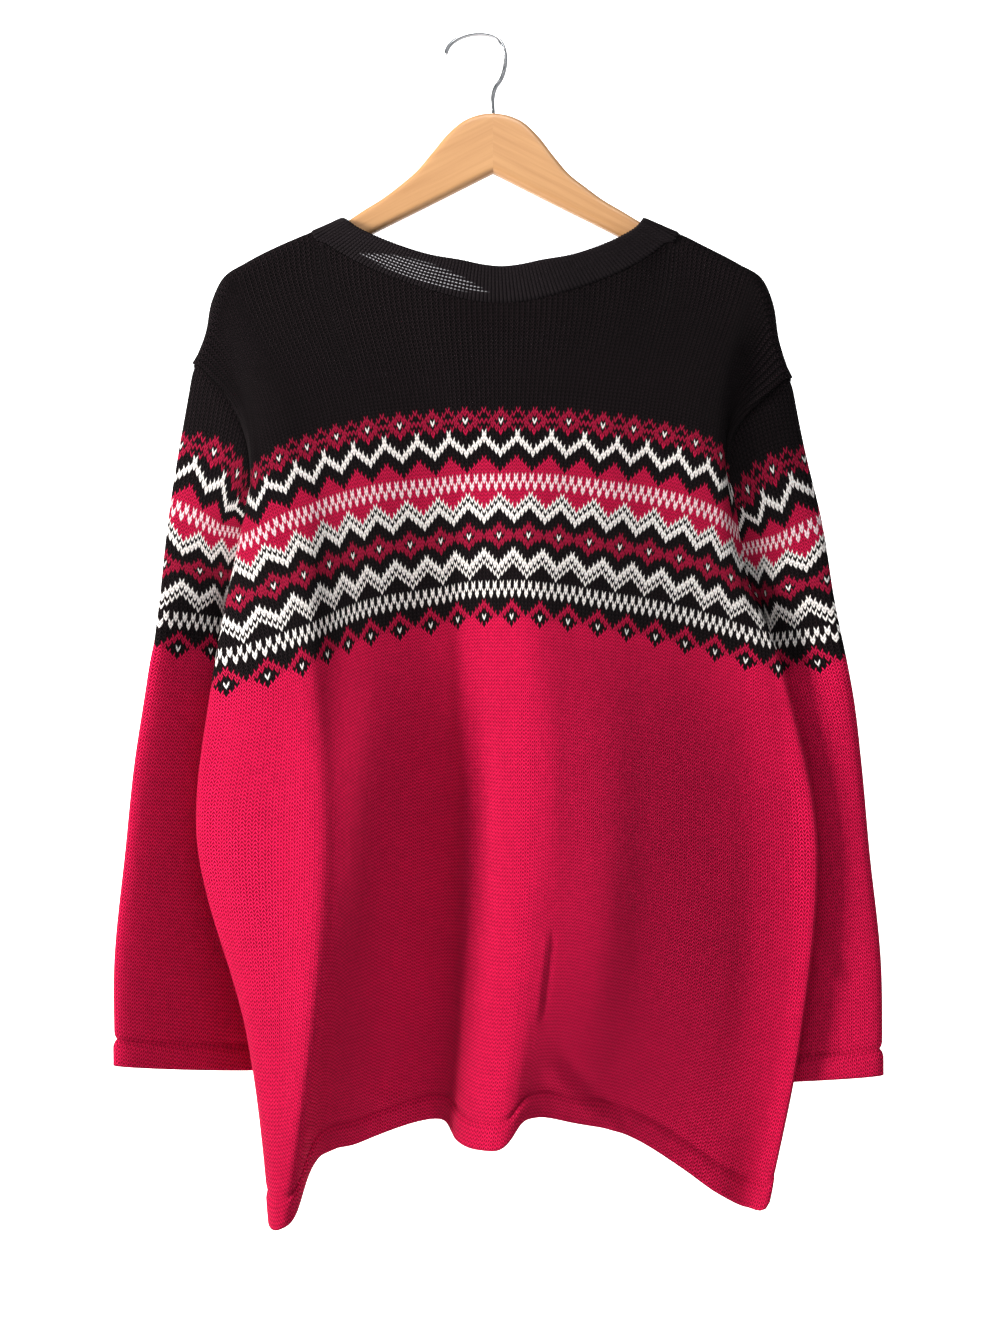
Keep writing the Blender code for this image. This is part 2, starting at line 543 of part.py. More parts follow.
def make_neckband(finish):
    """The neckband: a plain inner ring and an outer ring raised into ribs, joined at both edges."""
    count = 2 * RIB_COUNT
    seam = neck_loop(count)
    free = band_loop(count)
    across = free - seam
    across = across / np.linalg.norm(across, axis=1, keepdims=True)
    along = np.roll(seam + free, -1, axis=0) - np.roll(seam + free, 1, axis=0)
    along = along / np.linalg.norm(along, axis=1, keepdims=True)
    outward = np.cross(along, across)
    seam = seam + across * NECK_GAP
    relief = np.where(np.arange(count) % 2 == 0, RIB_RELIEF, 0.0)[:, None]
    outer = outward * (0.5 * BAND_WALL + relief)
    inner = (outward * (-0.5 * BAND_WALL))[::2]
    points = np.concatenate([seam + outer, free + outer, seam[::2] + inner, free[::2] + inner])
    low = np.arange(0, count, 2)
    odd, last = low + 1, (low + 2) % count
    plain = 2 * count + np.arange(RIB_COUNT)
    plain_next = 2 * count + (np.arange(RIB_COUNT) + 1) % RIB_COUNT
    rims = [
        (low, odd, odd + count, low + count),
        (odd, last, last + count, odd + count),
        (plain_next, plain, plain + RIB_COUNT, plain_next + RIB_COUNT),
    ]
    for level in (0, 1):
        first, second, third = (side + count * level for side in (low, odd, last))
        under, under_next = plain + RIB_COUNT * level, plain_next + RIB_COUNT * level
        rims += [(under, second, first), (under, under_next, second), (under_next, third, second)]
    faces = [face for rim in rims for face in np.stack(rim, -1).tolist()]
    mesh = bpy.data.meshes.new("neckband")
    mesh.from_pydata(points.tolist(), [], faces)
    face_out(mesh)
    mesh.materials.append(finish)
    made = bpy.data.objects.new("neckband", mesh)
    made.location.x = HANG_X
    PARTS.objects.link(made)
    return made


def face_out(mesh):
    """Turn every face of a closed mesh outwards."""
    work = bmesh.new()
    work.from_mesh(mesh)
    bmesh.ops.recalc_face_normals(work, faces=work.faces)
    work.to_mesh(mesh)
    work.free()


def make_arm(name, side, finish):
    """Half of the flat wooden hanger, from the joint to its rounded end."""
    curve = bpy.data.curves.new(name, "CURVE")
    curve.dimensions = "2D"
    curve.fill_mode = "BOTH"
    curve.extrude = 0.5 * ARM_THICKNESS
    line = curve.splines.new("POLY")
    line.points.add(len(ARM_OUTLINE) - 1)
    for point, row in zip(line.points, ARM_OUTLINE):
        x = max(row.x, 0.5 * ARM_JOINT_GAP)
        point.co = (side * x, row.left_z if side < 0 else row.right_z, 0.0, 1.0)
    line.use_cyclic_u = True
    made = bpy.data.objects.new(name, curve)
    made.rotation_euler = (0.5 * math.pi, 0.0, 0.0)
    made.location.x = HANG_X
    weld = made.modifiers.new("weld", "WELD")
    weld.merge_threshold = 0.00005
    rounding = made.modifiers.new("rounding", "BEVEL")
    rounding.width = ARM_ROUNDING
    rounding.segments = 2
    rounding.limit_method = "ANGLE"
    rounding.angle_limit = math.radians(50.0)
    curve.materials.append(finish)
    PARTS.objects.link(made)
    return made


def make_hook(finish):
    """The wire hook: stem, bend and crown."""
    curve = bpy.data.curves.new("hanger_hook", "CURVE")
    curve.dimensions = "3D"
    curve.bevel_depth = WIRE_RADIUS
    curve.bevel_resolution = 2
    curve.use_fill_caps = True
    knots = np.concatenate([[0.0], np.cumsum(np.hypot(*np.diff(np.array(WIRE), axis=0).T))])
    points = smooth_curve(knots, WIRE, np.linspace(0.0, knots[-1], WIRE_STEPS))
    line = curve.splines.new("POLY")
    line.points.add(len(points) - 1)
    for point, (x, z) in zip(line.points, points):
        point.co = (x, 0.0, z, 1.0)
    curve.materials.append(finish)
    made = bpy.data.objects.new("hanger_hook", curve)
    made.location.x = HANG_X
    PARTS.objects.link(made)
    return made


for old in list(bpy.data.objects):
    bpy.data.objects.remove(old)

PARTS = bpy.data.collections.new("fair isle jumper")
bpy.context.scene.collection.children.link(PARTS)

black_knit = material("black knit", (0.014, 0.013, 0.016), 0.85)
red_knit = material("red knit", (0.52, 0.006, 0.055), 0.80)
wood = material("varnished wood", (0.62, 0.36, 0.15), 0.35)
chrome = material("polished wire", (0.75, 0.75, 0.77), 0.15, 1.0)

make_panel("back_panel", BACK_FOLDS, BACK_NECK, -1.0, BACK_COLUMNS, BACK_ROWS, red_knit)
make_panel("front_panel", FRONT_FOLDS, FRONT_NECK, 1.0, FRONT_COLUMNS, FRONT_ROWS, red_knit)
make_sleeve("sleeve_left", LEFT_SLEEVE, -1.0, red_knit)
make_sleeve("sleeve_right", RIGHT_SLEEVE, 1.0, red_knit)
make_neckband(black_knit)
make_arm("hanger_arm_left", -1.0, wood)
make_arm("hanger_arm_right", 1.0, wood)
make_hook(chrome)
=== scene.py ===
"""A knitted fair isle jumper on a wooden hanger, seen from its back as in the photograph."""

import math
from collections import namedtuple

import bpy
import numpy as np
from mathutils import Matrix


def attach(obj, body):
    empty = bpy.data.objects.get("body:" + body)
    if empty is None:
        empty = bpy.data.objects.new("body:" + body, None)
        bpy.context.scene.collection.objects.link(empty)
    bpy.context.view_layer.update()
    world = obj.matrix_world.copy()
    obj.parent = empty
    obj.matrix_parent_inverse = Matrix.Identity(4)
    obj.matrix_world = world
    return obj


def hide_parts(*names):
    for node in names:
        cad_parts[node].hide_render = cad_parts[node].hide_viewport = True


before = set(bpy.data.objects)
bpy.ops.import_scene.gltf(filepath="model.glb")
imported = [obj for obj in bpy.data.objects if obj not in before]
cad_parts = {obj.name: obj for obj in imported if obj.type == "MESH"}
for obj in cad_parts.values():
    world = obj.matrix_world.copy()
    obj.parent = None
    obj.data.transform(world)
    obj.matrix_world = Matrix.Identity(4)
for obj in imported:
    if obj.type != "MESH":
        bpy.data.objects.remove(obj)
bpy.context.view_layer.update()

# The room: a white sweep well behind the jumper, a big soft key light from the left, a weaker
# fill from the right and a white sky. The camera stands level, straight in front.


def table(columns, *rows):
    """Rows of values with named columns."""
    return tuple(map(namedtuple("Row", columns)._make, rows))


LIGHTS = table(
    "name place aim size watts color",
    ("key light", (-3.3, -1.1, 0.3), (0.0, 0.0, -0.5), 1.0, 265.0, (1.0, 0.985, 0.96)),
    ("fill light", (2.3, -1.9, 0.1), (0.0, 0.0, -0.5), 1.8, 6.0, (1.0, 0.99, 0.98)),
    ("top light", (0.1, -0.9, 0.9), (0.0, 0.0, 0.0), 0.8, 14.0, (1.0, 1.0, 1.0)),
)
SKY, SKY_SEEN, SKY_STRENGTH = (0.86, 0.93, 1.0), 1.1, 0.25
SWEEP_WHITE, SWEEP_SEEN, SWEEP_GLOW = (0.92, 0.92, 0.93), 1.0, 0.1
SWEEP_HALF, SWEEP_FRONT, SWEEP_FLOOR, SWEEP_STEP, SWEEP_ROWS = 5.0, -2.6, -1.5, 0.12, 60
PHOTO_PIXELS_HIGH, FOCAL_PIXELS, SENSOR = 1333.0, 1500.0, 24.0
CAMERA_PLACE = (0.0166, -1.2, -0.5044)

scene = bpy.context.scene
scene.view_settings.view_transform = "Standard"
for old in [o for o in scene.objects if o.type in {"LIGHT", "CAMERA"}]:
    bpy.data.objects.remove(old)


def add(tree, kind, values=(), **options):
    """A new shader node. Values are numbers or sockets for its inputs, in order or by name."""
    made = tree.nodes.new("ShaderNode" + kind)
    for name, value in options.items():
        setattr(made, name, value)
    for key, value in values.items() if isinstance(values, dict) else enumerate(values):
        if isinstance(value, bpy.types.NodeSocket):
            tree.links.new(value, made.inputs[key])
        elif value is not None:
            made.inputs[key].default_value = value
    return made


def tree_of(values):
    """The node tree of the first socket among some values."""
    return next(value.id_data for value in values if isinstance(value, bpy.types.NodeSocket))


def calc(operation, *values):
    """One step of arithmetic on sockets and numbers."""
    return add(tree_of(values), "Math", values, operation=operation).outputs[0]


def times(*values):
    """Two values multiplied, and a third added where there is one."""
    return calc("MULTIPLY_ADD" if len(values) > 2 else "MULTIPLY", *values)


def less(*values):
    """A value less another."""
    return calc("SUBTRACT", *values)


def feed(inputs, sockets):
    """Links to a node's inputs, by their names."""
    for label, socket in sockets.items():
        socket.id_data.links.new(socket, inputs[label])


def new_material(name, settings):
    """A material, its tree and its shader's inputs, some of them set to constants."""
    made = bpy.data.materials.new(name)
    made.use_nodes = True
    inputs = made.node_tree.nodes["Principled BSDF"].inputs
    for socket, value in settings.items():
        inputs[socket].default_value = value
    return made, made.node_tree, inputs


def quads(number, flip=False):
    """The faces between a grid's neighbouring points, from the points' numbers."""
    corner = (number[:-1, :-1], number[:-1, 1:], number[1:, 1:], number[1:, :-1])
    order = (0, 3, 2, 1) if flip else (0, 1, 2, 3)
    return np.stack([corner[k] for k in order], -1).reshape(-1, 4)


def new_piece(name, points, faces, *finishes):
    """A smooth mesh at the origin, from an array of points and a list of faces."""
    mesh = bpy.data.meshes.new(name)
    mesh.from_pydata(points.reshape(-1, 3).tolist(), [], faces)
    mesh.shade_smooth()
    for finish in finishes:
        mesh.materials.append(finish)
    made = bpy.data.objects.new(name, mesh)
    scene.collection.objects.link(made)
    return made


for light in LIGHTS:
    data = bpy.data.lights.new(light.name, "AREA")
    data.size = light.size
    data.energy = light.watts
    data.color = light.color
    lamp = bpy.data.objects.new(light.name, data)
    scene.collection.objects.link(lamp)
    lamp.location = light.place
    away = np.array(light.place) - np.array(light.aim)
    tilt = math.atan2(math.hypot(away[0], away[1]), away[2])
    lamp.rotation_euler = (tilt, 0.0, math.atan2(away[0], -away[1]))

world = bpy.data.worlds.new("sky")
scene.world = world
world.use_nodes = True
sky = world.node_tree.nodes["Background"]
sky.inputs["Color"].default_value = (*SKY, 1.0)
seen = add(world.node_tree, "LightPath").outputs["Is Camera Ray"]
strength = times(seen, SKY_SEEN - SKY_STRENGTH, SKY_STRENGTH)
feed(sky.inputs, {"Strength": strength})

lens = bpy.data.cameras.new("camera")
lens.sensor_fit = "VERTICAL"
lens.sensor_height = SENSOR
lens.lens = SENSOR * FOCAL_PIXELS / PHOTO_PIXELS_HIGH
camera = bpy.data.objects.new("camera", lens)
scene.collection.objects.link(camera)
camera.location = CAMERA_PLACE
camera.rotation_euler = (math.radians(90.0), 0.0, 0.0)
scene.camera = camera

# The sweep's path runs back along the floor, then bends up through a quarter turn.
run = np.linspace(0.0, 1.0, SWEEP_ROWS)
bend = np.clip((run - 0.45) / 0.25, 0.0, 1.0) * 0.5 * math.pi
path = np.cumsum(np.stack([np.cos(bend), np.sin(bend)], -1), axis=0) * SWEEP_STEP
path = path + [SWEEP_FRONT, SWEEP_FLOOR]
sweep = np.stack(np.broadcast_arrays([[-SWEEP_HALF, SWEEP_HALF]], path[:, :1], path[:, 1:]), -1)
faces = quads(np.arange(2 * SWEEP_ROWS).reshape(SWEEP_ROWS, 2)).tolist()
settings = {"Base Color": (*SWEEP_WHITE, 1.0), "Roughness": 0.9, "Emission Color": (1.0, 1.0, 1.0, 1.0)}
white, tree, inputs = new_material("white sweep", settings)
seen = add(tree, "LightPath").outputs["Is Camera Ray"]
glow = times(seen, SWEEP_SEEN - SWEEP_GLOW, SWEEP_GLOW)
feed(inputs, {"Emission Strength": glow})
floor = new_piece("floor", sweep, faces, white)

# The back: the panel that faces the camera, stranded knit in black, red and cream wool, in one
# piece from its turned hem to its shoulders. It hangs over the hanger from the neck outwards.
# One row for each fold of the back, from the left seam to the right. Each pair is its x and y at
# that height, and sag is how far it hangs below the centre column, in millimetres.
FOLD = "across hem low middle band chest sag_hem sag_band sag_chest"
BACK_FOLDS = table(
    FOLD,
    (-1.000, (-160, 10), (-184, 6), (-223, 4), (-212, 2), (-190, 2), 38, 56, 50),
    (-0.955, (-168, -10), (-192, -10), (-234, -10), (-222, -12), (-188, -22), 49, 54, 46),
    (-0.880, (-172, -36), (-188, -30), (-211, -27), (-199, -27), (-182, -29), 59, 51, 41),
    (-0.760, (-162, -58), (-160, -46), (-160, -41), (-159, -36), (-160, -31), 62, 41, 27),
    (-0.680, (-152, -52), (-140, -55), (-133, -50), (-140, -38), (-145, -29), 52, 35, 22),
    (-0.620, (-145, -30), (-128, -48), (-121, -47), (-129, -33), (-133, -28), 29, 29, 17),
    (-0.430, (-107, -8), (-96, -34), (-92, -39), (-96, -26), (-93, -27), 11, 15, 8),
    (-0.190, (-37, 4), (-34, -3), (-34, -9), (-38, -12), (-39, -26), -2, 4, 3),
    (-0.130, (-31, -6), (-24, -2), (-22, -5), (-25, -11), (-26, -27), 4, 1, 2),
    (-0.090, (-28, -19), (-17, -12), (-13, -9), (-16, -15), (-15, -27), 5, 0, 2),
    (0.020, (-10, -40), (4, -38), (9, -33), (9, -29), (11, -28), 7, 0, 2),
    (0.080, (6, -49), (18, -47), (22, -43), (22, -35), (25, -28), 4, 0, 2),
    (0.120, (13, -49), (29, -49), (33, -47), (31, -37), (34, -28), -3, 1, 2),
    (0.160, (20, -47), (38, -49), (42, -49), (40, -37), (44, -28), -14, 2, 2),
    (0.240, (33, -42), (55, -48), (60, -48), (58, -35), (62, -28), -19, 4, 3),
    (0.360, (62, -32), (84, -44), (90, -44), (87, -31), (90, -28), -12, 9, 6),
    (0.500, (97, -21), (114, -34), (122, -35), (120, -25), (119, -27), -2, 14, 9),
    (0.720, (152, -8), (178, -15), (184, -16), (174, -16), (165, -27), 33, 26, 21),
    (0.800, (177, -4), (200, -8), (205, -12), (193, -15), (178, -25), 52, 31, 28),
    (0.900, (204, 2), (229, -9), (235, -13), (219, -15), (182, -17), 66, 38, 36),
    (0.960, (217, -10), (243, -15), (254, -17), (229, -13), (184, -10), 62, 40, 40),
    (1.000, (220, -5), (240, -7), (252, -8), (227, -1), (185, 2), 42, 44, 44),
)

# The neck seam of both panels, from the centre to where it climbs over the hanger.
NECK = table(
    "across x back_z back_depth back_height front_z front_depth front_height",
    (0.000, .000, -.2195, .024, .653, -.2330, .022, .640),
    (0.085, .024, -.2172, .024, .656, -.2318, .022, .641),
    (0.175, .050, -.2105, .023, .663, -.2268, .021, .646),
    (0.267, .076, -.2015, .020, .672, -.2170, .019, .657),
    (0.354, .101, -.1905, .017, .686, -.2030, .017, .672),
    (0.425, .121, -.1790, .0135, .699, -.1865, .014, .690),
    (0.475, .1345, -.1690, .0105, .712, -.1700, .0105, .710),
)
NECK_CENTRE_X = 0.0065

# The shoulder seam: along the hanger, then dropping past its end.
CREST = table(
    "across left_x left_z right_x right_z",
    (0.440, .120, -.1470, .120, -.1470),
    (0.517, .1445, -.1580, .1480, -.1592),
    (0.600, .170, -.1688, .171, -.1705),
    (0.700, .197, -.1826, .196, -.1836),
    (0.780, .2155, -.1952, .2150, -.1960),
    (0.840, .2240, -.2130, .2232, -.2148),
    (0.920, .2290, -.2380, .2280, -.2440),
    (1.000, .2385, -.2630, .2375, -.2742),
)
HANG_X = 0.011
HEM_LINE_Z = -0.871

# Heights up the cloth from its hem, and shares of the way from the middle to a side seam.
LOW, MIDDLE, BAND, CHEST = 0.130, 0.290, 0.405, 0.560
UNDERARM, SHOULDER_TIP_HEIGHT, SHOULDER_NECK_HEIGHT = 0.460, 0.700, 0.728
NECK_TURN_FROM, NECK_SHARE, SHOULDER_CLOSED_FROM, TIP_FROM, EDGE_FROM = 0.492, 0.517, 0.53, 0.80, 0.93
WRAP_RADIUS, TIP_RADIUS = 0.0095, 0.0060
ARMHOLE_DEPTH = 0.013
YOKE_LEAN = math.radians(45.0)
RIGHT_TUCK, RIGHT_TUCK_HEIGHT, RIGHT_TUCK_SPAN, RIGHT_TUCK_FROM = 0.009, 0.475, 0.075, 0.65
CORNER_PASSES, CORNER_PULL = 60, 0.25
WALL, HEM_WALL, HEM_HEIGHT = 0.0022, 0.0034, 0.020
HEM_SWELL, GROOVE_DEPTH, GROOVE_WIDE = 0.0005, 0.0020, 0.0028
SEAM_GAP = 0.0010

# Columns across each panel's mesh, rows below the chest and rows above.
BACK_MESH, FRONT_MESH = (168, 190, 56), (126, 150, 44)

# Rows of the chart from the top down, for the stitches -4 to 3 of each repeat of eight.
CHART_TOP = 13
CHART = """
KKKKKKKK RKKKRKKK KRKRRRKR KKRRKRRK RRRKWKRR KKRRKRRK KRKRRRKR WKKKRKKK WKKKKKKK WWKKKKKW
KWWKKKWW KKWWKWWK KKKWWWKK KKKKWKKK RKKKKKKK RRKKKKKR RRRKKKRR RRRRKRRR RRRRRRRR WRWRWRWR
WRWRWRWR RWRWRWRW RWRWRWRW RRRRRRRR RRRRWRRR RRRWKWRR RRWKWKWR RWKWWWKW WKWWKWWK KWWKKKWW
WWKKKKKW WKKKKKKK KKKKRKKK KKKRRRKK KRRRKRRR RRRKWKRR KRRRKRRR KKKRRRKK KKKKRKKK WKKKKKKK
WWKKKKKW KWWKKKWW WKWWKWWK KWKWWWKW KKWKWKWK KKKWKWKK KKKKWKKK KKKKKKKK KWKWKWKW KWKWKWKW
WKWKWKWK WKWKWKWK KKKKKKKK RKKKKKKK RRKKKKKR KRRKKKRR KKRRKRRK WKKRRRKK KKRRRRRK KRRRRRRR
RRRRRRRR
"""

# Small creases of the back: from one end to the other, in millimetres as seen from the front.
# Rise lifts the knit along the crease and roll lifts one side of it above the other.
CREASE = "x z end_x end_z width rise roll"
BACK_CREASES = table(
    CREASE,
    (54, -712, 47, -770, 3, 0.0, 1.0),
    (61, -812, 94, -853, 9, 0.0, 1.5),
    (92, -846, 111, -862, 6, 0.6, 1.2),
    (-87, -838, -62, -846, 10, 1.2, 1.0),
)


def smooth_curve(knots, rows, places):
    """Read a smooth cubic that passes through the rows of values at their knots."""
    knots = np.asarray(knots, float)
    rows = np.asarray(rows, float)
    slopes = np.gradient(rows, knots, axis=0)
    places = np.asarray(places, float)
    cell = np.clip(np.searchsorted(knots, places) - 1, 0, len(knots) - 2)
    width = knots[cell + 1] - knots[cell]
    part = (places - knots[cell]) / width
    if rows.ndim > 1:
        part, width = part[..., None], width[..., None]
    rise = part * part * (3.0 - 2.0 * part)
    leave = part * (1.0 - part) ** 2
    arrive = part * part * (part - 1.0)
    blended = rows[cell] * (1.0 - rise) + rows[cell + 1] * rise
    return blended + width * (slopes[cell] * leave + slopes[cell + 1] * arrive)


def ease(share):
    """Rise smoothly from 0 to 1 as the share does."""
    share = np.clip(share, 0.0, 1.0)
    return share * share * (3.0 - 2.0 * share)


def body_points(folds, across, heights):
    """Points below the chest, a row for each height: the folds are read across the panel, then
    up it, and a point hangs at the hem line plus its height less its sag."""
    places = [fold.across for fold in folds]
    shape = 0.001 * np.array([(*f.hem, *f.low, *f.middle, *f.band, *f.chest) for f in folds])
    hang = 0.001 * np.array([(f.sag_hem, f.sag_band, f.sag_chest) for f in folds])
    levels = smooth_curve(places, shape, across).reshape(-1, 5, 2).transpose(1, 0, 2)
    flat = smooth_curve((0.0, LOW, MIDDLE, BAND, CHEST), levels.reshape(5, -1), heights)
    x, y = np.moveaxis(flat.reshape(len(heights), -1, 2), -1, 0)
    drop = smooth_curve((0.0, BAND, CHEST), smooth_curve(places, hang, across).T, heights)
    rise = np.asarray(heights)[:, None]
    near = 1.0 - np.clip(np.abs(rise - RIGHT_TUCK_HEIGHT) / RIGHT_TUCK_SPAN, 0.0, 1.0)
    x = x - RIGHT_TUCK * ease(near) * ease((across - RIGHT_TUCK_FROM) / 0.3)
    return np.stack([x, y, HEM_LINE_Z + rise - drop], -1)


def armhole_depth(height):
    """How far each panel's edge stands from the seam plane between the underarm and the shoulder."""
    share = np.clip((height - UNDERARM) / (SHOULDER_TIP_HEIGHT - UNDERARM), 0.0, 1.0)
    return ARMHOLE_DEPTH * np.sin(math.pi * share) ** np.where(share < 0.5, 1.3, 0.8)


def crest(across):
    """The shoulder seam's x and z, and its outward direction, at a place across the panel."""
    share = np.abs(across)
    found = []
    knots = [row.across for row in CREST]
    for line in ([row[1:3] for row in CREST], [row[3:] for row in CREST]):
        ahead = smooth_curve(knots, line, share + 0.004) - smooth_curve(knots, line, share - 0.004)
        ahead = ahead / np.linalg.norm(ahead, axis=-1, keepdims=True)
        found.append(np.concatenate([smooth_curve(knots, line, share), -ahead[:, 1:], ahead[:, :1]], -1))
    return np.where((across < 0)[:, None], found[0] * (-1.0, 1.0, -1.0, 1.0), found[1])


def both_sides(knots, rows):
    """Mirror a half's rows, whose first value is x, to the left of the centre row."""
    knots = list(knots)
    left = [(-row[0], *row[1:]) for row in rows[:0:-1]]
    return [-knot for knot in knots[:0:-1]] + knots, left + list(rows)


def top_line(facing, across):
    """Where each column turns over the top: its x, z, depth, outward x and z, height and turn.
    The neck's line slides onto the hanger's rim, and the shoulder follows the crest."""
    share = np.abs(across)
    radius = WRAP_RADIUS + (TIP_RADIUS - WRAP_RADIUS) * ease((share - TIP_FROM) / 0.20)
    x, z, out_x, out_z = crest(across).T
    slope = (share - NECK_SHARE) / (1.0 - NECK_SHARE)
    height = SHOULDER_NECK_HEIGHT + (SHOULDER_TIP_HEIGHT - SHOULDER_NECK_HEIGHT) * slope
    shoulder = (x - radius * out_x, z - radius * out_z, radius, out_x, out_z, height)
    x, z, out_x, out_z = crest(np.where(across < 0, -NECK_SHARE, NECK_SHARE)).T
    full = np.ones_like(share)
    rim = (x - WRAP_RADIUS * out_x, z - WRAP_RADIUS * out_z, WRAP_RADIUS * full, SHOULDER_NECK_HEIGHT * full)
    last, first = NECK[-1].across, 2 if facing < 0 else 5
    knots, line = both_sides([row.across for row in NECK], [(row.x, *row[first:first + 3]) for row in NECK])
    near = smooth_curve(knots, line, np.clip(across, -last, last)).T
    near[0] += NECK_CENTRE_X * (1.0 - (np.minimum(share, NECK_SHARE) / NECK_SHARE) ** 4)
    x, z, depth, height = near + (np.array(rim) - near) * ease((share - last) / (NECK_TURN_FROM - last))
    turn = 0.5 * math.pi * np.clip((share - NECK_TURN_FROM) / (NECK_SHARE - NECK_TURN_FROM), 0.0, 1.0)
    return (*np.where(share < NECK_SHARE, (x, z, depth, out_x, out_z, height), shoulder), turn)


def panel_grid(folds, facing, across, low_rows, high_rows):
    """A panel's points and their heights up the cloth, row by row from the hem. Above the chest
    each column is a cubic from the chest to the shoulder or neck, then an arc over the hanger.
    Along the shoulder the arc ends in the seam plane, and the corner beside the neck is smoothed
    by adding a share of its second difference across the columns, time and again."""
    top_x, top_z, depth, out_x, out_z, height, turn = top_line(facing, across)
    far = np.abs(across)
    edge = ease((far - EDGE_FROM) / 0.07)
    low = np.linspace(0.0, CHEST, low_rows + 1)
    body = body_points(folds, across, low)
    body[..., 1] += facing * (armhole_depth(low)[:, None] + 0.5 * SEAM_GAP) * edge
    length = (height - CHEST)[:, None]
    lean = YOKE_LEAN * np.clip((far - 0.5) / 0.5, 0.0, 1.0) ** 1.5
    start = length * (0.0, 0.0, 1.0)
    finish = np.stack([np.sign(across) * np.sin(lean), 0.0 * lean, np.cos(lean)], -1) * length
    target = np.stack([top_x, facing * depth, top_z], -1)
    radius = np.minimum(depth, WRAP_RADIUS)
    arc_from = (height - CHEST) / (height - CHEST + radius * turn)
    step = np.linspace(0.0, 1.0, high_rows + 1)[1:, None]
    share = np.minimum(step / arc_from, 1.0)
    angle = turn * np.clip((step - arc_from) / np.maximum(1.0 - arc_from, 0.001), 0.0, 1.0)
    rise = ease(share)
    thrust = share[..., None]
    yoke = body[-1] * (1.0 - rise[..., None]) + target * rise[..., None]
    yoke = yoke + start * thrust * (1.0 - thrust) ** 2 + finish * thrust * thrust * (thrust - 1.0)
    up = CHEST + share * (height - CHEST)
    yoke[..., 1] += facing * (armhole_depth(up) - armhole_depth(CHEST) * (1.0 - rise)) * edge
    yoke[..., 0] += radius * np.sin(angle) * out_x
    yoke[..., 2] += radius * np.sin(angle) * out_z
    yoke[..., 1] -= facing * np.minimum(radius * (1.0 - np.cos(angle)), depth - 0.5 * SEAM_GAP)
    left_over = yoke[-1, :, 1] * ease((far - SHOULDER_CLOSED_FROM) / 0.05)
    yoke[..., 1] -= left_over * ease(angle / np.maximum(turn, 0.01))
    heights = np.concatenate([np.broadcast_to(low[:, None], body.shape[:2]), up + radius * angle])
    grid = np.concatenate([body, yoke])
    corner = CORNER_PULL * np.exp(-(((far - 0.5) / 0.10) ** 2)) * ease((1.0 - step) / 0.25)
    corner = np.concatenate([0.0 * body[..., :1], corner[..., None]])[:, 1:-1]
    for _ in range(CORNER_PASSES if len(across) > 2 else 0):
        grid[:, 1:-1] += corner * (grid[:, :-2] - 2.0 * grid[:, 1:-1] + grid[:, 2:])
    return grid, heights


def normals(grid, sign, closed=False):
    """The unit normal at each point of a grid, from its differences along rows and columns."""
    across = np.gradient(grid, axis=1)
    if closed:
        across = 0.5 * (np.roll(grid, -1, axis=1) - np.roll(grid, 1, axis=1))
    normal = np.cross(across, np.gradient(grid, axis=0)) * sign
    return normal / np.maximum(np.linalg.norm(normal, axis=-1, keepdims=True), 1e-9)


def crease(grid, normal, creases):
    """Grid points moved along their normals: each crease is a bell across its line, which rises,
    and the bell's slope, which rolls, both fading towards the line's two ends."""
    for row in creases:
        start = 0.001 * np.array([row.x, row.z])
        line = 0.001 * np.array([row.end_x, row.end_z]) - start
        length = math.hypot(*line)
        away = grid[..., [0, 2]] - start
        along = (away @ line) / length ** 2
        off = (away[..., 0] * line[1] - away[..., 1] * line[0]) / (length * 0.001 * row.width)
        fade = ease((along + 0.25) / 0.4) * ease((1.25 - along) / 0.4)
        bell = np.exp(-off * off) * fade
        grid = grid + normal * (0.001 * bell * (row.rise + 2.3 * row.roll * off))[..., None]
    return grid


def welt(grid, normal, heights):
    """A turned hem on a grid: it swells a little and a sewn groove runs along its top."""
    swell = HEM_SWELL * ease((HEM_HEIGHT - heights) / 0.004)
    groove = GROOVE_DEPTH * np.exp(-(((heights - HEM_HEIGHT) / GROOVE_WIDE) ** 2))
    return grid + normal * (swell - groove)[..., None]


def joined(grid):
    """A grid with its first column again at its end."""
    return np.concatenate([grid, grid[:, :1]], axis=1)


def cloth(name, grid, stitches, hem_rows, front, back, flip, closed=False):
    """A knitted piece: an open grid thickened to both sides, and its stitch numbers as a UV map."""
    count, across = grid.shape[:2]
    number = np.arange(count * across).reshape(count, across)
    place = np.arange(count * (across + closed)).reshape(count, across + closed)
    number = joined(number) if closed else number
    made = new_piece(name, grid, quads(number, flip).tolist(), front, back)
    layer = made.data.uv_layers.new(name="stitches")
    corners = stitches.reshape(-1, 2)[quads(place, flip).ravel()]
    layer.data.foreach_set("uv", corners.astype(np.float32).ravel())
    group = made.vertex_groups.new(name="turned hem")
    group.add(number[:hem_rows].ravel().tolist(), 1.0, "REPLACE")
    wall = made.modifiers.new("wall", "SOLIDIFY")
    wall.thickness = HEM_WALL
    wall.offset = 0.0
    wall.vertex_group = group.name
    wall.thickness_vertex_group = WALL / HEM_WALL
    wall.material_offset = 1
    return made


def blend(share, first, second, how="MIX"):
    """Two colours mixed by a share."""
    tree = tree_of((share, first, second))
    made = add(tree, "Mix", {"Factor": share}, data_type="RGBA", blend_type=how)
    for socket, value in ((made.inputs[6], first), (made.inputs[7], second)):
        if isinstance(value, bpy.types.NodeSocket):
            tree.links.new(value, socket)
        else:
            socket.default_value = (*value, 1.0)
    return made.outputs[2]


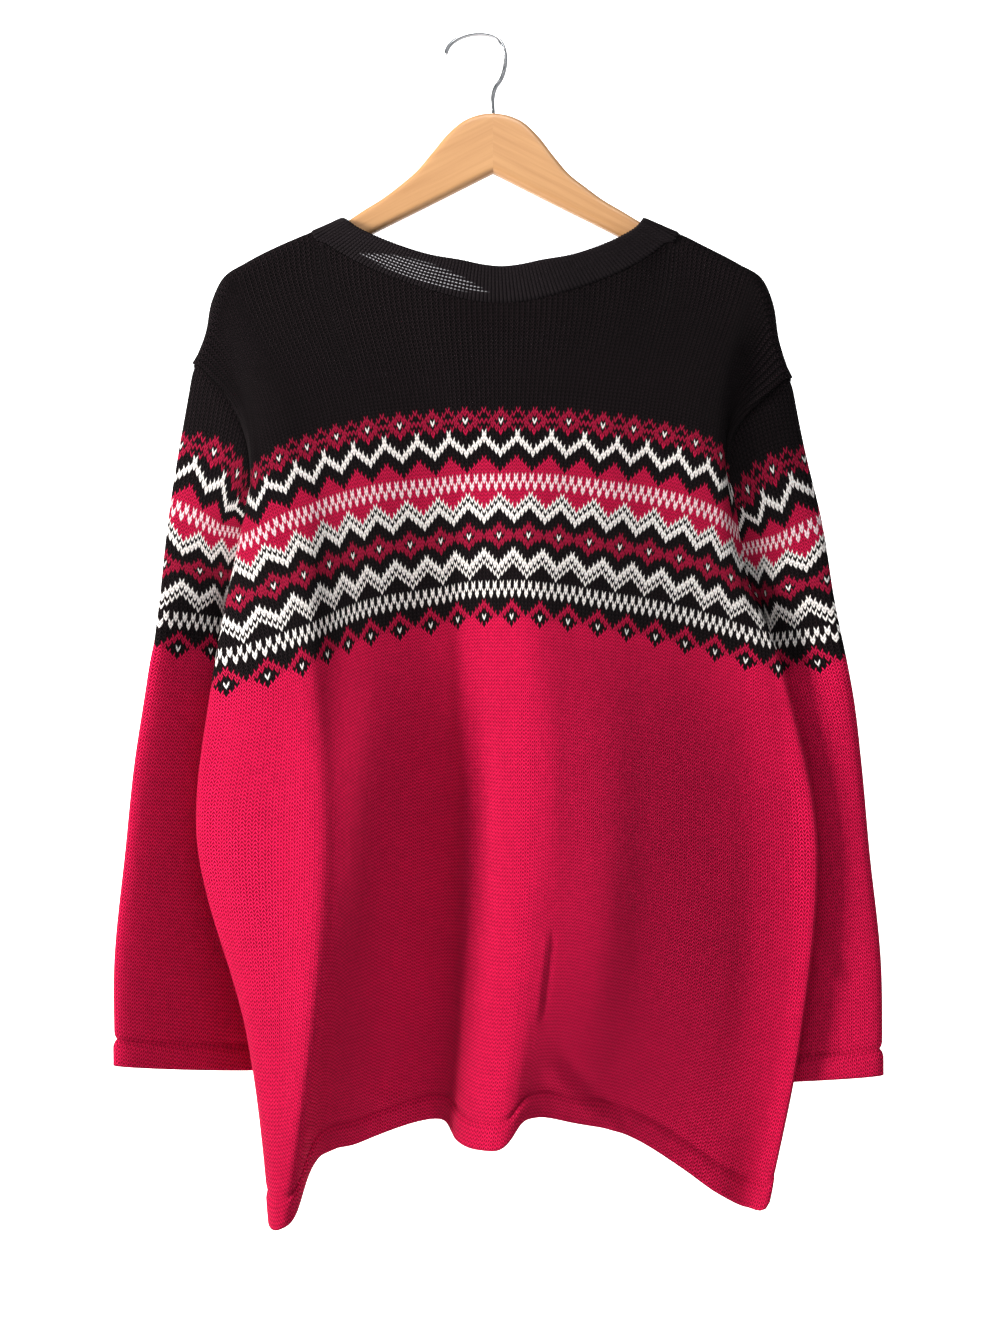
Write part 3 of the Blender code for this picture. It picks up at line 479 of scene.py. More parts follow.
def noise(tree, scale, detail, place=None, roughness=0.5):
    """Soft noise over the piece, or over some place."""
    if place is None:
        place = add(tree, "TexCoord").outputs["Object"]
    values = {"Vector": place, "Scale": scale, "Detail": detail, "Roughness": roughness}
    return add(tree, "TexNoise", values).outputs[0]


def stretch(value, low, high, to_low=0.0, to_high=1.0):
    """A value carried from one range to another, and held within it."""
    return add(value.id_data, "MapRange", [value, low, high, to_low, to_high]).outputs[0]


def new_group(name, inputs, outputs):
    """A shader node group. Its sockets are numbers, apart from a place named UV."""
    tree = bpy.data.node_groups.new(name, "ShaderNodeTree")
    for way, labels in (("INPUT", inputs), ("OUTPUT", outputs)):
        for label in labels.split():
            kind = "NodeSocketVector" if label == "UV" else "NodeSocketFloat"
            tree.interface.new_socket(label, in_out=way, socket_type=kind)
    return tree, tree.nodes.new("NodeGroupInput").outputs, tree.nodes.new("NodeGroupOutput").inputs


# Stocking stitch: each stitch is a V whose legs rise a little over one row from its tip, so a
# leg's row is the height less that rise. A leg is round across and dips at both ends.
LEG_RISE, FIBRE = 1.1, 0.35
stitch, given, result = new_group("knit stitch", "UV", "Column Row Height Fleck")
u, v, _ = add(stitch, "SeparateXYZ", [given["UV"]]).outputs
shifted = calc("ADD", u, 0.5)
column = calc("FLOOR", shifted)
side = less(calc("FRACT", shifted), 0.5)
leg = times(calc("ABSOLUTE", side), 2.0)
level = calc("ADD", times(leg, -LEG_RISE, v), 0.5)
row = calc("FLOOR", level)
off = less(calc("FRACT", level), 0.5)
across_leg = calc("COSINE", times(off, math.pi))
along_leg = calc("SINE", times(leg, math.pi))
dip = times(calc("POWER", along_leg, 0.5), 0.6, 0.4)
round_leg = times(calc("POWER", across_leg, 0.7), dip)
fibre_place = add(stitch, "CombineXYZ", [times(u, 3.0), level, 0.0])
fibre = noise(stitch, 4.0, 3.0, fibre_place.outputs[0])
height = times(less(fibre, 0.5), FIBRE, round_leg)
cell = add(stitch, "CombineXYZ", [column, row, 0.0])
fleck = add(stitch, "TexWhiteNoise", [cell.outputs[0]], noise_dimensions="3D").outputs["Value"]
feed(result, {"Column": column, "Row": row, "Height": height, "Fleck": fleck})

# The chart as steps: for each stitch 0 to 4 away from the middle of a repeat, constant ramps
# hold the yarn of every row, 0 for black, 0.5 for red and 1 for cream. Dusk is the share of a
# darker red, and blush marks the rows whose light stitches are pink.
DUSK = {
    **dict.fromkeys(range(-17, 7), 0.45),
    **dict.fromkeys((*range(7, 14), *range(-26, -17)), 1.0),
    **dict.fromkeys(range(-43, -37), 0.6),
    -44: 0.3,
}
BLUSH_ROW, BLUSH_REACH = -7.5, 2.0
chart_rows = CHART.split()
CHART_LOW = CHART_TOP - len(chart_rows) + 1
HALF = len(chart_rows) // 2
YARN = {"K": 0.0, "R": 0.5, "W": 1.0}
upward = [[YARN[line[(4 + k) % 8]] for k in range(5)] for line in chart_rows[::-1]]
chart, given, result = new_group("fair isle chart", "Column Row", "Red Cream Dusk Blush")
from_left = calc("FLOORED_MODULO", calc("ADD", given["Column"], 4.0), 8.0)
apart = calc("ABSOLUTE", less(from_left, 4.0))
row_in = less(given["Row"], CHART_LOW - 0.5)
upper_half = calc("GREATER_THAN", row_in, float(HALF))


def by_row(codes):
    """A value for each row of the chart, from two constant ramps, because one ramp is too short."""
    halves = []
    for first, part in ((0, codes[:HALF]), (HALF, codes[HALF:])):
        place = calc("DIVIDE", less(row_in, float(first)), float(len(part)))
        ramp = add(chart, "ValToRGB", [place])
        ramp.color_ramp.interpolation = "CONSTANT"
        elements = ramp.color_ramp.elements
        elements.remove(elements[1])
        for number, code in enumerate(part):
            if number == 0 or code != part[number - 1]:
                element = elements.new(number / len(part)) if number else elements[0]
                element.color = (code, code, code, 1.0)
        halves.append(ramp.outputs["Color"])
    return add(chart, "Mix", [upper_half, None, *halves], data_type="FLOAT").outputs[0]


total = 0.0
for number in range(5):
    here = calc("COMPARE", apart, float(number), 0.5)
    total = times(here, by_row([line[number] for line in upward]), total)
cream = calc("GREATER_THAN", total, 0.75)
some = calc("GREATER_THAN", total, 0.25)
dusk = by_row([DUSK.get(CHART_LOW + n, 0.0) for n in range(len(chart_rows))])
blush = calc("COMPARE", given["Row"], BLUSH_ROW, BLUSH_REACH)
red = less(some, cream)
feed(result, {"Red": red, "Cream": cream, "Dusk": dusk, "Blush": blush})

# The yarns, each with painted shade low between the legs and a painted highlight on their tops, how much
# they change at random from stitch to stitch and over the cloth, and the painted shade along a course or, in
# black, a wale.
# The lighter colour of each yarn is its lit top with a painted highlight, the darker one painted shade low in
# the stitch; the rib top colour is a painted highlight on each rib's crest.
BLACK_LEG_SHADE, BLACK, RIB_TOP_HIGHLIGHT = (0.0008, 0.0004, 0.0006), (0.0100, 0.0062, 0.0072), (0.0130, 0.0098, 0.0110)
RED_LEG_SHADE, RED, DUSKY_RED = (0.36, 0.0, 0.014), (0.80, 0.010, 0.085), (0.36, 0.008, 0.040)
CREAM, BLUSH = (1.0, 0.93, 0.89), (1.0, 0.72, 0.76)
FLECK, PATCH, PATCH_SCALE = 0.12, 0.16, 22.0
# Painted shade along each course, lighter on the ribs, and on black painted light and shade along its courses
# and wales.
COURSE_SHADE, RIB_COURSE_SHADE, BLACK_WALE_SHADE, BLACK_COURSE_SHADE = 0.16, 0.04, 0.60, 0.16
# Painted shade in the valleys between the legs, a painted highlight on their ridges, and a floor on that
# painted shade for cream.
VALLEY_SHADE, RIB_VALLEY_SHADE, RIDGE_HIGHLIGHT, CREAM_SHADE_FLOOR = 0.42, 0.8, 1.12, 0.82
STITCH_BUMP, RIB_BUMP = 0.0020, 0.0006
WOOL = {"Specular IOR Level": 0.04, "Sheen Weight": 0.01, "Sheen Roughness": 0.45}


def wave(value, turns):
    """The cosine of a value that goes round so many times in each unit."""
    return calc("COSINE", times(value, turns * math.tau))


def knit_material(name, purl=False, ribbed=False):
    """Wool in stocking stitch: the yarn's colour from the chart, or black in ribs, with painted shade
    between the legs and along the courses and a painted highlight on the legs' tops and the rib crests,
    a little random change from stitch to stitch and over the cloth, and the stitch as bump. The inside
    is shifted by part of a stitch."""
    made, tree, inputs = new_material(name, WOOL)
    place = add(tree, "UVMap", uv_map="stitches").outputs[0]
    if purl:
        place = add(tree, "VectorMath", [place, (0.5, 0.4, 0.0)], operation="ADD").outputs[0]
    column, level, _ = add(tree, "SeparateXYZ", [place]).outputs
    knit = add(tree, "Group", {"UV": place}, node_tree=stitch).outputs
    fleck = times(knit["Fleck"], FLECK, 0.84)
    shade = times(noise(tree, PATCH_SCALE, 3.0), PATCH, fleck)
    # The course wave paints shade along each row of stitches.
    course = wave(level, 1.0)
    if ribbed:
        # On the ribs, painted shade in the valleys between them and a painted highlight on each crest.
        top = times(wave(column, 0.5), 0.5, 0.5)
        # The band's pinholes are painted pale grey, the light seen through them.
        color = blend(pinholes(column, level), blend(top, BLACK_LEG_SHADE, RIB_TOP_HIGHLIGHT), PINHOLE_LIGHT)
        stitch_shading = times(course, RIB_COURSE_SHADE, 1.0)
        deep = stretch(knit["Height"], 0.0, 0.8, RIB_VALLEY_SHADE, RIDGE_HIGHLIGHT)
    else:
        # Each yarn goes from its painted shade low in the stitch to its lit top with a painted highlight.
        tall = stretch(knit["Height"], 0.1, 0.9)
        yarn = add(tree, "Group", {"Column": knit["Column"], "Row": knit["Row"]}, node_tree=chart).outputs
        red = blend(yarn["Dusk"], blend(tall, RED_LEG_SHADE, RED), DUSKY_RED)
        color = blend(yarn["Red"], blend(tall, BLACK_LEG_SHADE, BLACK), red)
        color = blend(yarn["Cream"], color, blend(yarn["Blush"], CREAM, BLUSH))
        black = less(1.0, calc("MAXIMUM", yarn["Red"], yarn["Cream"]))
        # On black, painted light and shade along the courses and wales; on every yarn, painted shade along
        # the courses.
        black_shading = times(course, BLACK_COURSE_SHADE)
        black_shading = times(wave(column, 1.0), BLACK_WALE_SHADE, black_shading)
        stitch_shading = times(black_shading, black, times(course, COURSE_SHADE, 1.0))
        # Painted shade between the legs and a painted highlight on their ridges, held up for cream.
        deep = stretch(knit["Height"], 0.0, 0.8, VALLEY_SHADE, RIDGE_HIGHLIGHT)
        deep = calc("MAXIMUM", deep, times(yarn["Cream"], CREAM_SHADE_FLOOR))
    # The random tone, the painted shade along the courses and between the legs, and the painted highlights
    # multiply the colour.
    shade = times(times(shade, stitch_shading), deep)
    gray = add(tree, "CombineXYZ", [shade, shade, shade]).outputs[0]
    color = blend(1.0, color, gray, "MULTIPLY")
    rough = stretch(knit["Height"], 0.0, 1.0, 1.0, 0.85)
    values = {"Strength": 1.0, "Distance": RIB_BUMP if ribbed else STITCH_BUMP, "Height": knit["Height"]}
    bump = add(tree, "Bump", values).outputs[0]
    feed(inputs, {"Base Color": color, "Roughness": rough, "Normal": bump})
    return made


fair_isle = knit_material("fair isle knit")
fair_isle_inside = knit_material("fair isle knit inside", purl=True)

# A row is 2.925 mm high, and 84 stitches lie between the middle and each side seam. The armholes
# take stitches off both sides above the underarm, and the right side's tuck a few more.
ROW, HALF_STITCHES, CHEST_ROW, ROW_BOW = 0.002925, 84, 9.4, 0.6
KEPT_HEIGHTS, KEPT = (0.0, 0.30, 0.405, 0.469, 0.56, 0.65, 0.78), (1.0, 1.0, 1.0, 0.95, 0.84, 0.80, 0.78)
TUCK_ALL, TUCK_EDGE, TUCK_HEIGHT, TUCK_SPAN = 0.02, 0.05, 0.469, 0.08
SEAM_RISE, SEAM_WIDE = 0.0014, 0.014


def stitch_numbers(across, heights):
    """Stitches from the middle and rows of the chart, for a panel's places and heights."""
    kept = smooth_curve(KEPT_HEIGHTS, KEPT, heights)
    right = np.maximum(across, 0.0)
    near = np.exp(-(((heights - TUCK_HEIGHT) / TUCK_SPAN) ** 2))
    tuck = (TUCK_ALL * np.sign(right) + TUCK_EDGE * right**6) * near
    rows = CHEST_ROW + ROW_BOW * across**2 + (heights - CHEST) / ROW
    return np.stack([HALF_STITCHES * across * kept * (1.0 - tuck), rows], -1)


def panel(name, folds, facing, mesh, creases):
    """A whole panel with its hem, its creases and the armhole seams' raised edges."""
    columns, low_rows, high_rows = mesh
    across = np.linspace(-1.0, 1.0, columns + 1)
    grid, heights = panel_grid(folds, facing, across, low_rows, high_rows)
    grid[..., 0] += HANG_X
    normal = normals(grid, -facing)
    grid = welt(crease(grid, normal, creases), normal, heights)
    seam = np.exp(-(((1.0 - np.abs(across)) / SEAM_WIDE) ** 2)) * ease((heights - UNDERARM - 0.01) / 0.03)
    grid = grid + normal * (SEAM_RISE * seam)[..., None]
    hem_rows = int(HEM_HEIGHT / CHEST * low_rows) + 1
    numbers = stitch_numbers(across, heights)
    return cloth(name, grid, numbers, hem_rows, fair_isle, fair_isle_inside, facing > 0)


back = panel("back", BACK_FOLDS, -1.0, BACK_MESH, BACK_CREASES)
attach(back, "root")
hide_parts("back_panel")

# The front: the same knit in one piece on the wall side, with a deeper neck and wider folds. It
# is sewn to the back at the shoulders and down both sides.
FRONT_FOLDS = table(
    FOLD,
    BACK_FOLDS[0],
    (-0.930, (-165, 29), (-181, 16), (-210, 13), (-201, 9), (-187, 18), 46, 54, 46),
    (-0.720, (-137, 60), (-148, 30), (-162, 21), (-158, 15), (-150, 24), 40, 36, 24),
    (-0.480, (-86, 31), (-96, 23), (-108, 19), (-107, 17), (-101, 26), 14, 18, 10),
    (-0.220, (-34, 68), (-40, 52), (-46, 36), (-48, 26), (-45, 27), 0, 5, 3),
    (0.040, (24, 33), (20, 27), (16, 24), (10, 22), (12, 27), 0, 0, 2),
    (0.300, (82, 69), (80, 55), (78, 38), (72, 26), (68, 27), 4, 6, 4),
    (0.540, (134, 34), (136, 26), (134, 22), (130, 18), (124, 27), 14, 16, 11),
    (0.760, (182, 58), (186, 32), (186, 22), (175, 15), (160, 24), 36, 30, 24),
    (0.940, (213, 21), (226, 15), (238, 12), (216, 9), (181, 18), 46, 40, 38),
    BACK_FOLDS[-1],
)
FRONT_CREASES = table(CREASE, (-40, -560, 10, -700, 14, 1.0, 1.2), (90, -640, 130, -760, 12, 0.8, 1.6))
front = panel("front", FRONT_FOLDS, 1.0, FRONT_MESH, FRONT_CREASES)
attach(front, "root")
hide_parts("front_panel")

# The sleeves: tapered tubes of the same knit, sewn into the armholes, that hang half behind the
# body with a turned cuff. The chart's rows slope down towards the body.

# Rings down each sleeve, a flattened tube whose inner edge lies behind the body.
RING = "outer_z inner_z outer_x inner_x outer_y inner_y thickness"
LEFT_SLEEVE = table(
    RING,
    (-.262, -.262, .2400, .2000, .000, .002, .012),
    (-.330, -.330, .2508, .2010, .001, .002, .016),
    (-.400, -.400, .2605, .2030, .002, .002, .016),
    (-.455, -.455, .2672, .2090, .005, .007, .015),
    (-.468, -.468, .2692, .2125, .006, .0140, .016),
    (-.482, -.482, .2712, .2120, .007, .0225, .018),
    (-.500, -.501, .2750, .2050, .008, .032, .020),
    (-.530, -.532, .2802, .1930, .010, .043, .023),
    (-.580, -.583, .2880, .1800, .010, .053, .023),
    (-.650, -.656, .2955, .1750, .010, .058, .022),
    (-.740, -.751, .3040, .1840, .008, .052, .020),
    (-.820, -.838, .3030, .1920, .006, .044, .017),
)
RIGHT_SLEEVE = table(
    RING,
    (-.274, -.274, .2390, .1940, .000, .002, .012),
    (-.330, -.330, .2492, .1950, .001, .002, .016),
    (-.400, -.400, .2645, .1985, .002, .002, .016),
    (-.447, -.447, .2725, .2105, .005, .007, .015),
    (-.460, -.460, .2752, .2180, .006, .0145, .016),
    (-.475, -.475, .2785, .2225, .007, .0230, .018),
    (-.495, -.496, .2830, .2205, .008, .032, .020),
    (-.530, -.532, .2900, .2120, .010, .044, .023),
    (-.580, -.583, .2960, .2030, .010, .054, .023),
    (-.650, -.656, .3025, .2000, .010, .058, .022),
    (-.740, -.751, .3115, .2030, .008, .052, .020),
    (-.828, -.842, .3120, .2060, .006, .044, .017),
)

# Where rows of the chart lie on each sleeve: their height at the outer edge, how far they drop
# halfway round to the inner edge and at it, and how suddenly.
ROW_LINE = "row z drop full power"
LEFT_LINES = table(
    ROW_LINE,
    (-180, -.8920, .0090, .0180, 1.0), (-120, -.7140, .0060, .0120, 1.0),
    (-44, -.4905, .0016, .0050, 1.0), (-22, -.4245, .0053, .0103, 1.0),
    (-7, -.3775, .0185, .0260, 1.2), (9, -.3300, .0420, .0520, 1.45),
    (40, -.2350, .0520, .0700, 1.5), (90, -.0800, .0520, .0700, 1.5),
)
RIGHT_LINES = table(
    ROW_LINE,
    (-180, -.8990, .0080, .0160, 1.0), (-120, -.7220, .0060, .0120, 1.0),
    (-44, -.5012, .0027, .0045, 1.0), (-22, -.4366, .0059, .0118, 1.0),
    (-7, -.3905, .0150, .0240, 1.05), (9, -.3408, .0330, .0450, 1.12),
    (40, -.2470, .0500, .0700, 1.3), (90, -.0900, .0600, .0800, 1.3),
)
RIGHT_CREASES = table(CREASE, (260, -712, 288, -756, 9, 0.0, 2.0))

# How far each sleeve's outer and inner edges swing forward lower down.
LEFT_SWING, RIGHT_SWING = (0.018, 0.0), (0.016, 0.024)
SWING_FROM, SWING_OVER, INNER_SWING_FROM, INNER_SWING_OVER = -0.30, 0.20, -0.45, 0.12
UNDERARM_FADE, SHOULDER_FADE = 0.030, 0.110
UNDERARM_NOTCH, UNDERARM_OUT = 0.0035, 0.0030
SEAM_SINK = 0.0012
STITCH, SLEEVE_LENGTH = 0.00333, 0.56
SLEEVE_COLUMNS, SLEEVE_ROWS = 96, 190


def run_along(line):
    """How far along a line each of its points lies."""
    return np.concatenate([[0.0], np.cumsum(np.linalg.norm(np.diff(line, axis=0), axis=1))])


def points_at(line, run, places):
    """The points of a line at some places along it."""
    return np.stack([np.interp(places, run, values) for values in line.T], -1)


def armhole_loop(side, steps):
    """The armhole's points, from the underarm up the back edge, over the shoulder and down."""
    across = np.array([side * 1.0, side * 0.985])
    underarm_z = body_points(BACK_FOLDS, across[:1], [UNDERARM])[0, 0, 2]
    halves = []
    for folds, facing in ((BACK_FOLDS, -1.0), (FRONT_FOLDS, 1.0)):
        line = panel_grid(folds, facing, across, *BACK_MESH[1:])[0][:, 0]
        run = run_along(line)
        start = np.interp(underarm_z + UNDERARM_NOTCH, line[:, 2], run)
        halves.append(points_at(line, run, np.linspace(start, run[-1], steps + 1)))
    back_half, front_half = halves
    back_half[0] = 0.5 * (back_half[0] + front_half[0]) + np.array([side * UNDERARM_OUT, 0.0, 0.0])
    return np.concatenate([back_half, front_half[::-1][1:-1]])


def sleeve_ring(rings, side, turn, z):
    """A point of the sleeve's flattened tube: turn 0 is its inner edge, 0.5 its outer edge."""
    levels = [-ring.outer_z for ring in rings]
    read = np.moveaxis(smooth_curve(levels, rings, -z), -1, 0)
    outer_z, inner_z, outer_x, inner_x, outer_y, inner_y, thick = read
    share = 0.5 - 0.5 * np.cos(math.tau * turn)
    across = np.sin(math.tau * turn)
    swell = np.sign(across) * np.abs(across) ** 0.8
    run_x, run_y = outer_x - inner_x, outer_y - inner_y
    run = np.hypot(run_x, run_y)
    half = 0.5 * thick
    x = inner_x + run_x * share + half * swell * run_y / run
    y = inner_y + run_y * share - half * swell * run_x / run
    return np.stack([side * x, y, inner_z + (outer_z - inner_z) * share], -1)


def sleeve_numbers(ring, z, inner, side, first, lines):
    """Stitches counted round from the outer edge, by arc length along the chart's rows, and the
    row at each point. A row drops towards the inner edge as its line says."""
    counted = np.arange(float(lines[0].row), float(lines[-1].row))
    columns = range(ring.shape[1])
    read = smooth_curve([line.row for line in lines], [line[1:] for line in lines], counted)
    near = np.minimum(2.0 * inner, 1.0)
    far = np.maximum(2.0 * inner - 1.0, 0.0)
    row_z = read[:, :1] - read[:, 1:2] * near ** read[:, 3:] - (read[:, 2:3] - read[:, 1:2]) * far
    level = np.stack([np.interp(z[:, n], row_z[:, n], counted) for n in columns], 1)
    drawn = np.stack([np.interp(level[:, n], counted, row_z[:, n]) for n in columns[:-1]], 1)
    ahead = np.stack([np.interp(level[:, n], counted, row_z[:, n + 1]) for n in columns[:-1]], 1)
    flat = np.linalg.norm(np.diff(ring[..., :2], axis=1), axis=-1)
    run = np.cumsum(np.hypot(flat, ahead - drawn), axis=1)
    run = np.concatenate([0.0 * run[:, :1], run], axis=1)
    around = first - side * (run[:, len(columns) // 2, None] - run) / STITCH
    return np.stack([around, level], -1)


def sleeve(name, side, rings, lines, creases, first, swing):
    """A sleeve's tube from its cuff to the armhole. Each ring is read at its height and bent to
    the armhole near the top. Lower down its edges swing forward, and it narrows by as much as
    the camera would see it grow."""
    loop = armhole_loop(side, SLEEVE_COLUMNS // 2)
    turn = np.arange(SLEEVE_COLUMNS + 1) / SLEEVE_COLUMNS
    inner, turn = 0.5 + 0.5 * np.cos(math.tau * turn), turn[:-1]
    cuff_z = rings[-1].outer_z
    top_z = loop[:, 2]
    offset = loop - sleeve_ring(rings, side, turn, top_z)
    fade = UNDERARM_FADE + (SHOULDER_FADE - UNDERARM_FADE) * np.sin(math.pi * turn) ** 2
    z = cuff_z + (top_z - cuff_z) * np.linspace(0.0, 1.0, SLEEVE_ROWS + 1)[:, None]
    weight = ease(1.0 - np.clip((top_z - z) / fade, 0.0, 1.0))
    grid = sleeve_ring(rings, side, np.broadcast_to(turn, z.shape), z) + offset * weight[..., None]
    forward = swing[0] * (1.0 - inner[:-1]) * ease((SWING_FROM - z) / SWING_OVER)
    forward = forward + swing[1] * inner[:-1] * ease((INNER_SWING_FROM - z) / INNER_SWING_OVER)
    grid[..., 1] -= forward
    grid[..., 0] += HANG_X + grid[..., 0] * forward / CAMERA_PLACE[1]
    normal = normals(grid, side, closed=True)
    grid = welt(crease(grid, normal, creases), normal, z - cuff_z)
    sunk = np.exp(-(((top_z - z) / 0.006) ** 2)) * ease((top_z - z) / 0.002)
    grid = grid - normal * (SEAM_SINK * sunk)[..., None]
    numbers = sleeve_numbers(joined(grid), joined(z), inner, side, first, lines)
    hem_rows = int(HEM_HEIGHT / SLEEVE_LENGTH * SLEEVE_ROWS) + 1
    return cloth(name, grid, numbers, hem_rows, fair_isle, fair_isle_inside, side < 0, closed=True)


left = sleeve("left_sleeve", -1.0, LEFT_SLEEVE, LEFT_LINES, (), -1.0, LEFT_SWING)
right = sleeve("right_sleeve", 1.0, RIGHT_SLEEVE, RIGHT_LINES, RIGHT_CREASES, 1.4, RIGHT_SWING)
for piece, node in ((left, "sleeve_left"), (right, "sleeve_right")):
    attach(piece, "root")
    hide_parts(node)

# The neckband: one by one rib in black, sewn to the neck all round. Every second column of
# stitches stands up, on both faces.

# The band's free edge on the back and the front, from the centre to the hanger.
BAND_EDGE = table(
    "share x back_z back_depth front_z front_depth",
    (0.00, .000, -.1902, .022, -.2040, .020),
    (0.12, .0145, -.1888, .022, -.2035, .020),
    (0.25, .030, -.1855, .022, -.2013, .020),
    (0.50, .0605, -.1792, .020, -.1935, .018),
    (0.72, .092, -.1668, .016, -.1780, .015),
    (0.88, .1115, -.1555, .0115, -.1605, .0115),
    (0.95, .1172, -.1497, .0085, -.1505, .0085),
    (1.00, .120, -.1463, .0000, -.1463, .0000),
)
RIB_COUNT, RIB_POINTS, BAND_MESH_ROWS = 214, 6, 14
RIB_RELIEF, BAND_SEAM, BAND_ROLL = 0.0007, 0.0004, 0.0006

# Its knit rows are numbered from far above the chart.
BAND_FIRST_ROW, BAND_ROWS = 100.0, 11.0

# Beside the back of the neck the band is pulled thin: light shows between its stitches in a crescent
# that is widest in the middle. That light is painted into the band's colour as pale grey dots.
PINHOLE_LIGHT = (0.40, 0.39, 0.41)
CRESCENT_FROM, CRESCENT_LONG, CRESCENT_WIDE, CRESCENT_Z, CRESCENT_DROP = -0.096, 0.106, 0.0092, -0.1780, 0.034


def pinholes(column, level):
    """1 in the band's pinholes, on the side of the back: within half a width of the crescent's
    sloping middle line, a parabola along it, each hole is a peak of two crossed cosines."""
    tree = column.id_data
    x, y, z = add(tree, "SeparateXYZ", [add(tree, "TexCoord").outputs["Object"]]).outputs
    along = calc("DIVIDE", less(x, CRESCENT_FROM), CRESCENT_LONG)
    taper = times(along, less(1.0, along))
    middle = times(along, -CRESCENT_DROP, CRESCENT_Z)
    off = calc("ABSOLUTE", less(z, middle))
    near = less(times(taper, 4.0 * CRESCENT_WIDE), off)
    crossed = times(wave(column, 0.5), wave(level, 1.0))
    hole = times(stretch(crossed, 0.45, 0.9), stretch(near, 0.0, 0.002))
    return times(hole, calc("LESS_THAN", y, 0.0))


def even_steps(line, count):
    """Points spread evenly along a line, from its first point to just short of its last."""
    run = run_along(line)
    return points_at(line, run, np.arange(count) * (run[-1] / count))


def neck_loop(count):
    """The neck seam: half its points along the back from left to right, half back along the front."""
    across = np.linspace(-NECK_SHARE, NECK_SHARE, 1201) * 0.9999
    halves = []
    for facing in (-1.0, 1.0):
        x, z, depth, out_x, out_z, _, turn = top_line(facing, across)
        radius = np.minimum(depth, WRAP_RADIUS)
        y = facing * (depth - radius * (1.0 - np.cos(turn)))
        reach = radius * np.sin(turn)
        line = np.stack([x + reach * out_x, y, z + reach * out_z], -1)
        line[[0, -1], 1] = 0.0
        halves.append(even_steps(line[:: int(-facing)], count // 2))
    return np.concatenate(halves)


def band_loop(count):
    """The neckband's free edge, all round in the same way."""
    share = np.linspace(-1.0, 1.0, 1201)
    halves = []
    for first, facing in ((2, -1.0), (4, 1.0)):
        half = [(row.x, *row[first:first + 2]) for row in BAND_EDGE]
        knots, line = both_sides([row.share for row in BAND_EDGE], half)
        x, z, depth = smooth_curve(knots, line, share).T
        line = np.stack([NECK_CENTRE_X * (1.0 - share ** 4) + x, facing * depth, z], -1)
        halves.append(even_steps(line[:: int(-facing)], count // 2))
    return np.concatenate(halves)


def neckband(columns, rows):
    """The band from the neck seam to its free edge. Its ribs are a cosine round it and its free
    edge rolls over by the last tenth."""
    seam, free = neck_loop(columns), band_loop(columns)
    across = free - seam
    along = np.roll(seam + free, -1, axis=0) - np.roll(seam + free, 1, axis=0)
    outward = np.cross(along, across)
    outward = outward / np.linalg.norm(outward, axis=1, keepdims=True)
    share = np.linspace(0.0, 1.0, rows + 1)[:, None, None]
    phase = math.tau * RIB_COUNT * np.arange(columns)[:, None] / columns
    rib = RIB_RELIEF * np.cos(phase) * ease(share / 0.08)
    seam_line = BAND_SEAM * np.exp(-((share / 0.07) ** 2))
    roll = BAND_ROLL * ease((share - 0.9) / 0.1)
    grid = seam + across * share + outward * (rib + seam_line - roll)
    grid[..., 0] += HANG_X
    round_by = np.broadcast_to(2.0 * RIB_COUNT * np.arange(columns + 1) / columns, (rows + 1, columns + 1))
    up = np.broadcast_to(BAND_FIRST_ROW + BAND_ROWS * share[..., 0], round_by.shape)
    return grid, np.stack([round_by, up], -1)


black_rib = knit_material("black rib", ribbed=True)
grid, numbers = neckband(RIB_COUNT * RIB_POINTS, BAND_MESH_ROWS)
band = cloth("neck_band", grid, numbers, 0, black_rib, black_rib, True, closed=True)
band.modifiers["wall"].thickness = WALL
band.modifiers["wall"].vertex_group = ""
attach(band, "root")
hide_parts("neckband")

# The hanger: two flat halves of pale varnished hardwood, 11 mm thick with rounded edges, mitred
# in the middle.

# The hanger's outline on each side, from the top of the joint round to its underside.
ARM_OUTLINE = table(
    "x left_z right_z",
    (.0000, -.0624, -.0624), (.0110, -.0637, -.0640),
    (.0234, -.0686, -.0692), (.0360, -.0790, -.0807),
    (.0488, -.0942, -.0970), (.0616, -.1092, -.1118),
    (.0744, -.1202, -.1218), (.0880, -.1305, -.1318),
    (.1040, -.1405, -.1412), (.1190, -.1503, -.1502),
    (.1440, -.1624, -.1620), (.1690, -.1734, -.1734),
    (.1950, -.1870, -.1874), (.2050, -.1948, -.1954),
    (.2110, -.2025, -.2032), (.2125, -.2105, -.2110),
    (.2085, -.2160, -.2165), (.2010, -.2148, -.2153),
    (.1500, -.1868, -.1872), (.0976, -.1592, -.1592),
    (.0480, -.1344, -.1344), (.0000, -.1102, -.1102),
)
THICKNESS, ROUNDING, JOINT_GAP = 0.011, 0.0042, 0.00001
WOOD_LIGHT, WOOD_DARK = (0.54, 0.285, 0.118), (0.45, 0.222, 0.086)
GRAIN_SLOPE, GRAIN_STRETCH = math.radians(27.0), (5.0, 60.0, 150.0)
VARNISH = {"Roughness": 0.42, "Coat Weight": 0.3, "Coat Roughness": 0.2}


def rounds(name, rings, flip, finish):
    """A closed body from rings of equal count, joined round and along, with both ends filled."""
    count, around = rings.shape[:2]
    number = np.arange(count * around).reshape(count, around)
    faces = quads(joined(number), flip).tolist()
    ends = [number[0][::-1].tolist(), number[-1].tolist()]
    faces += [end[::-1] for end in ends] if flip else ends
    made = new_piece(name, rings, faces, finish)
    made.data.set_sharp_from_angle(angle=math.radians(50.0))
    return made


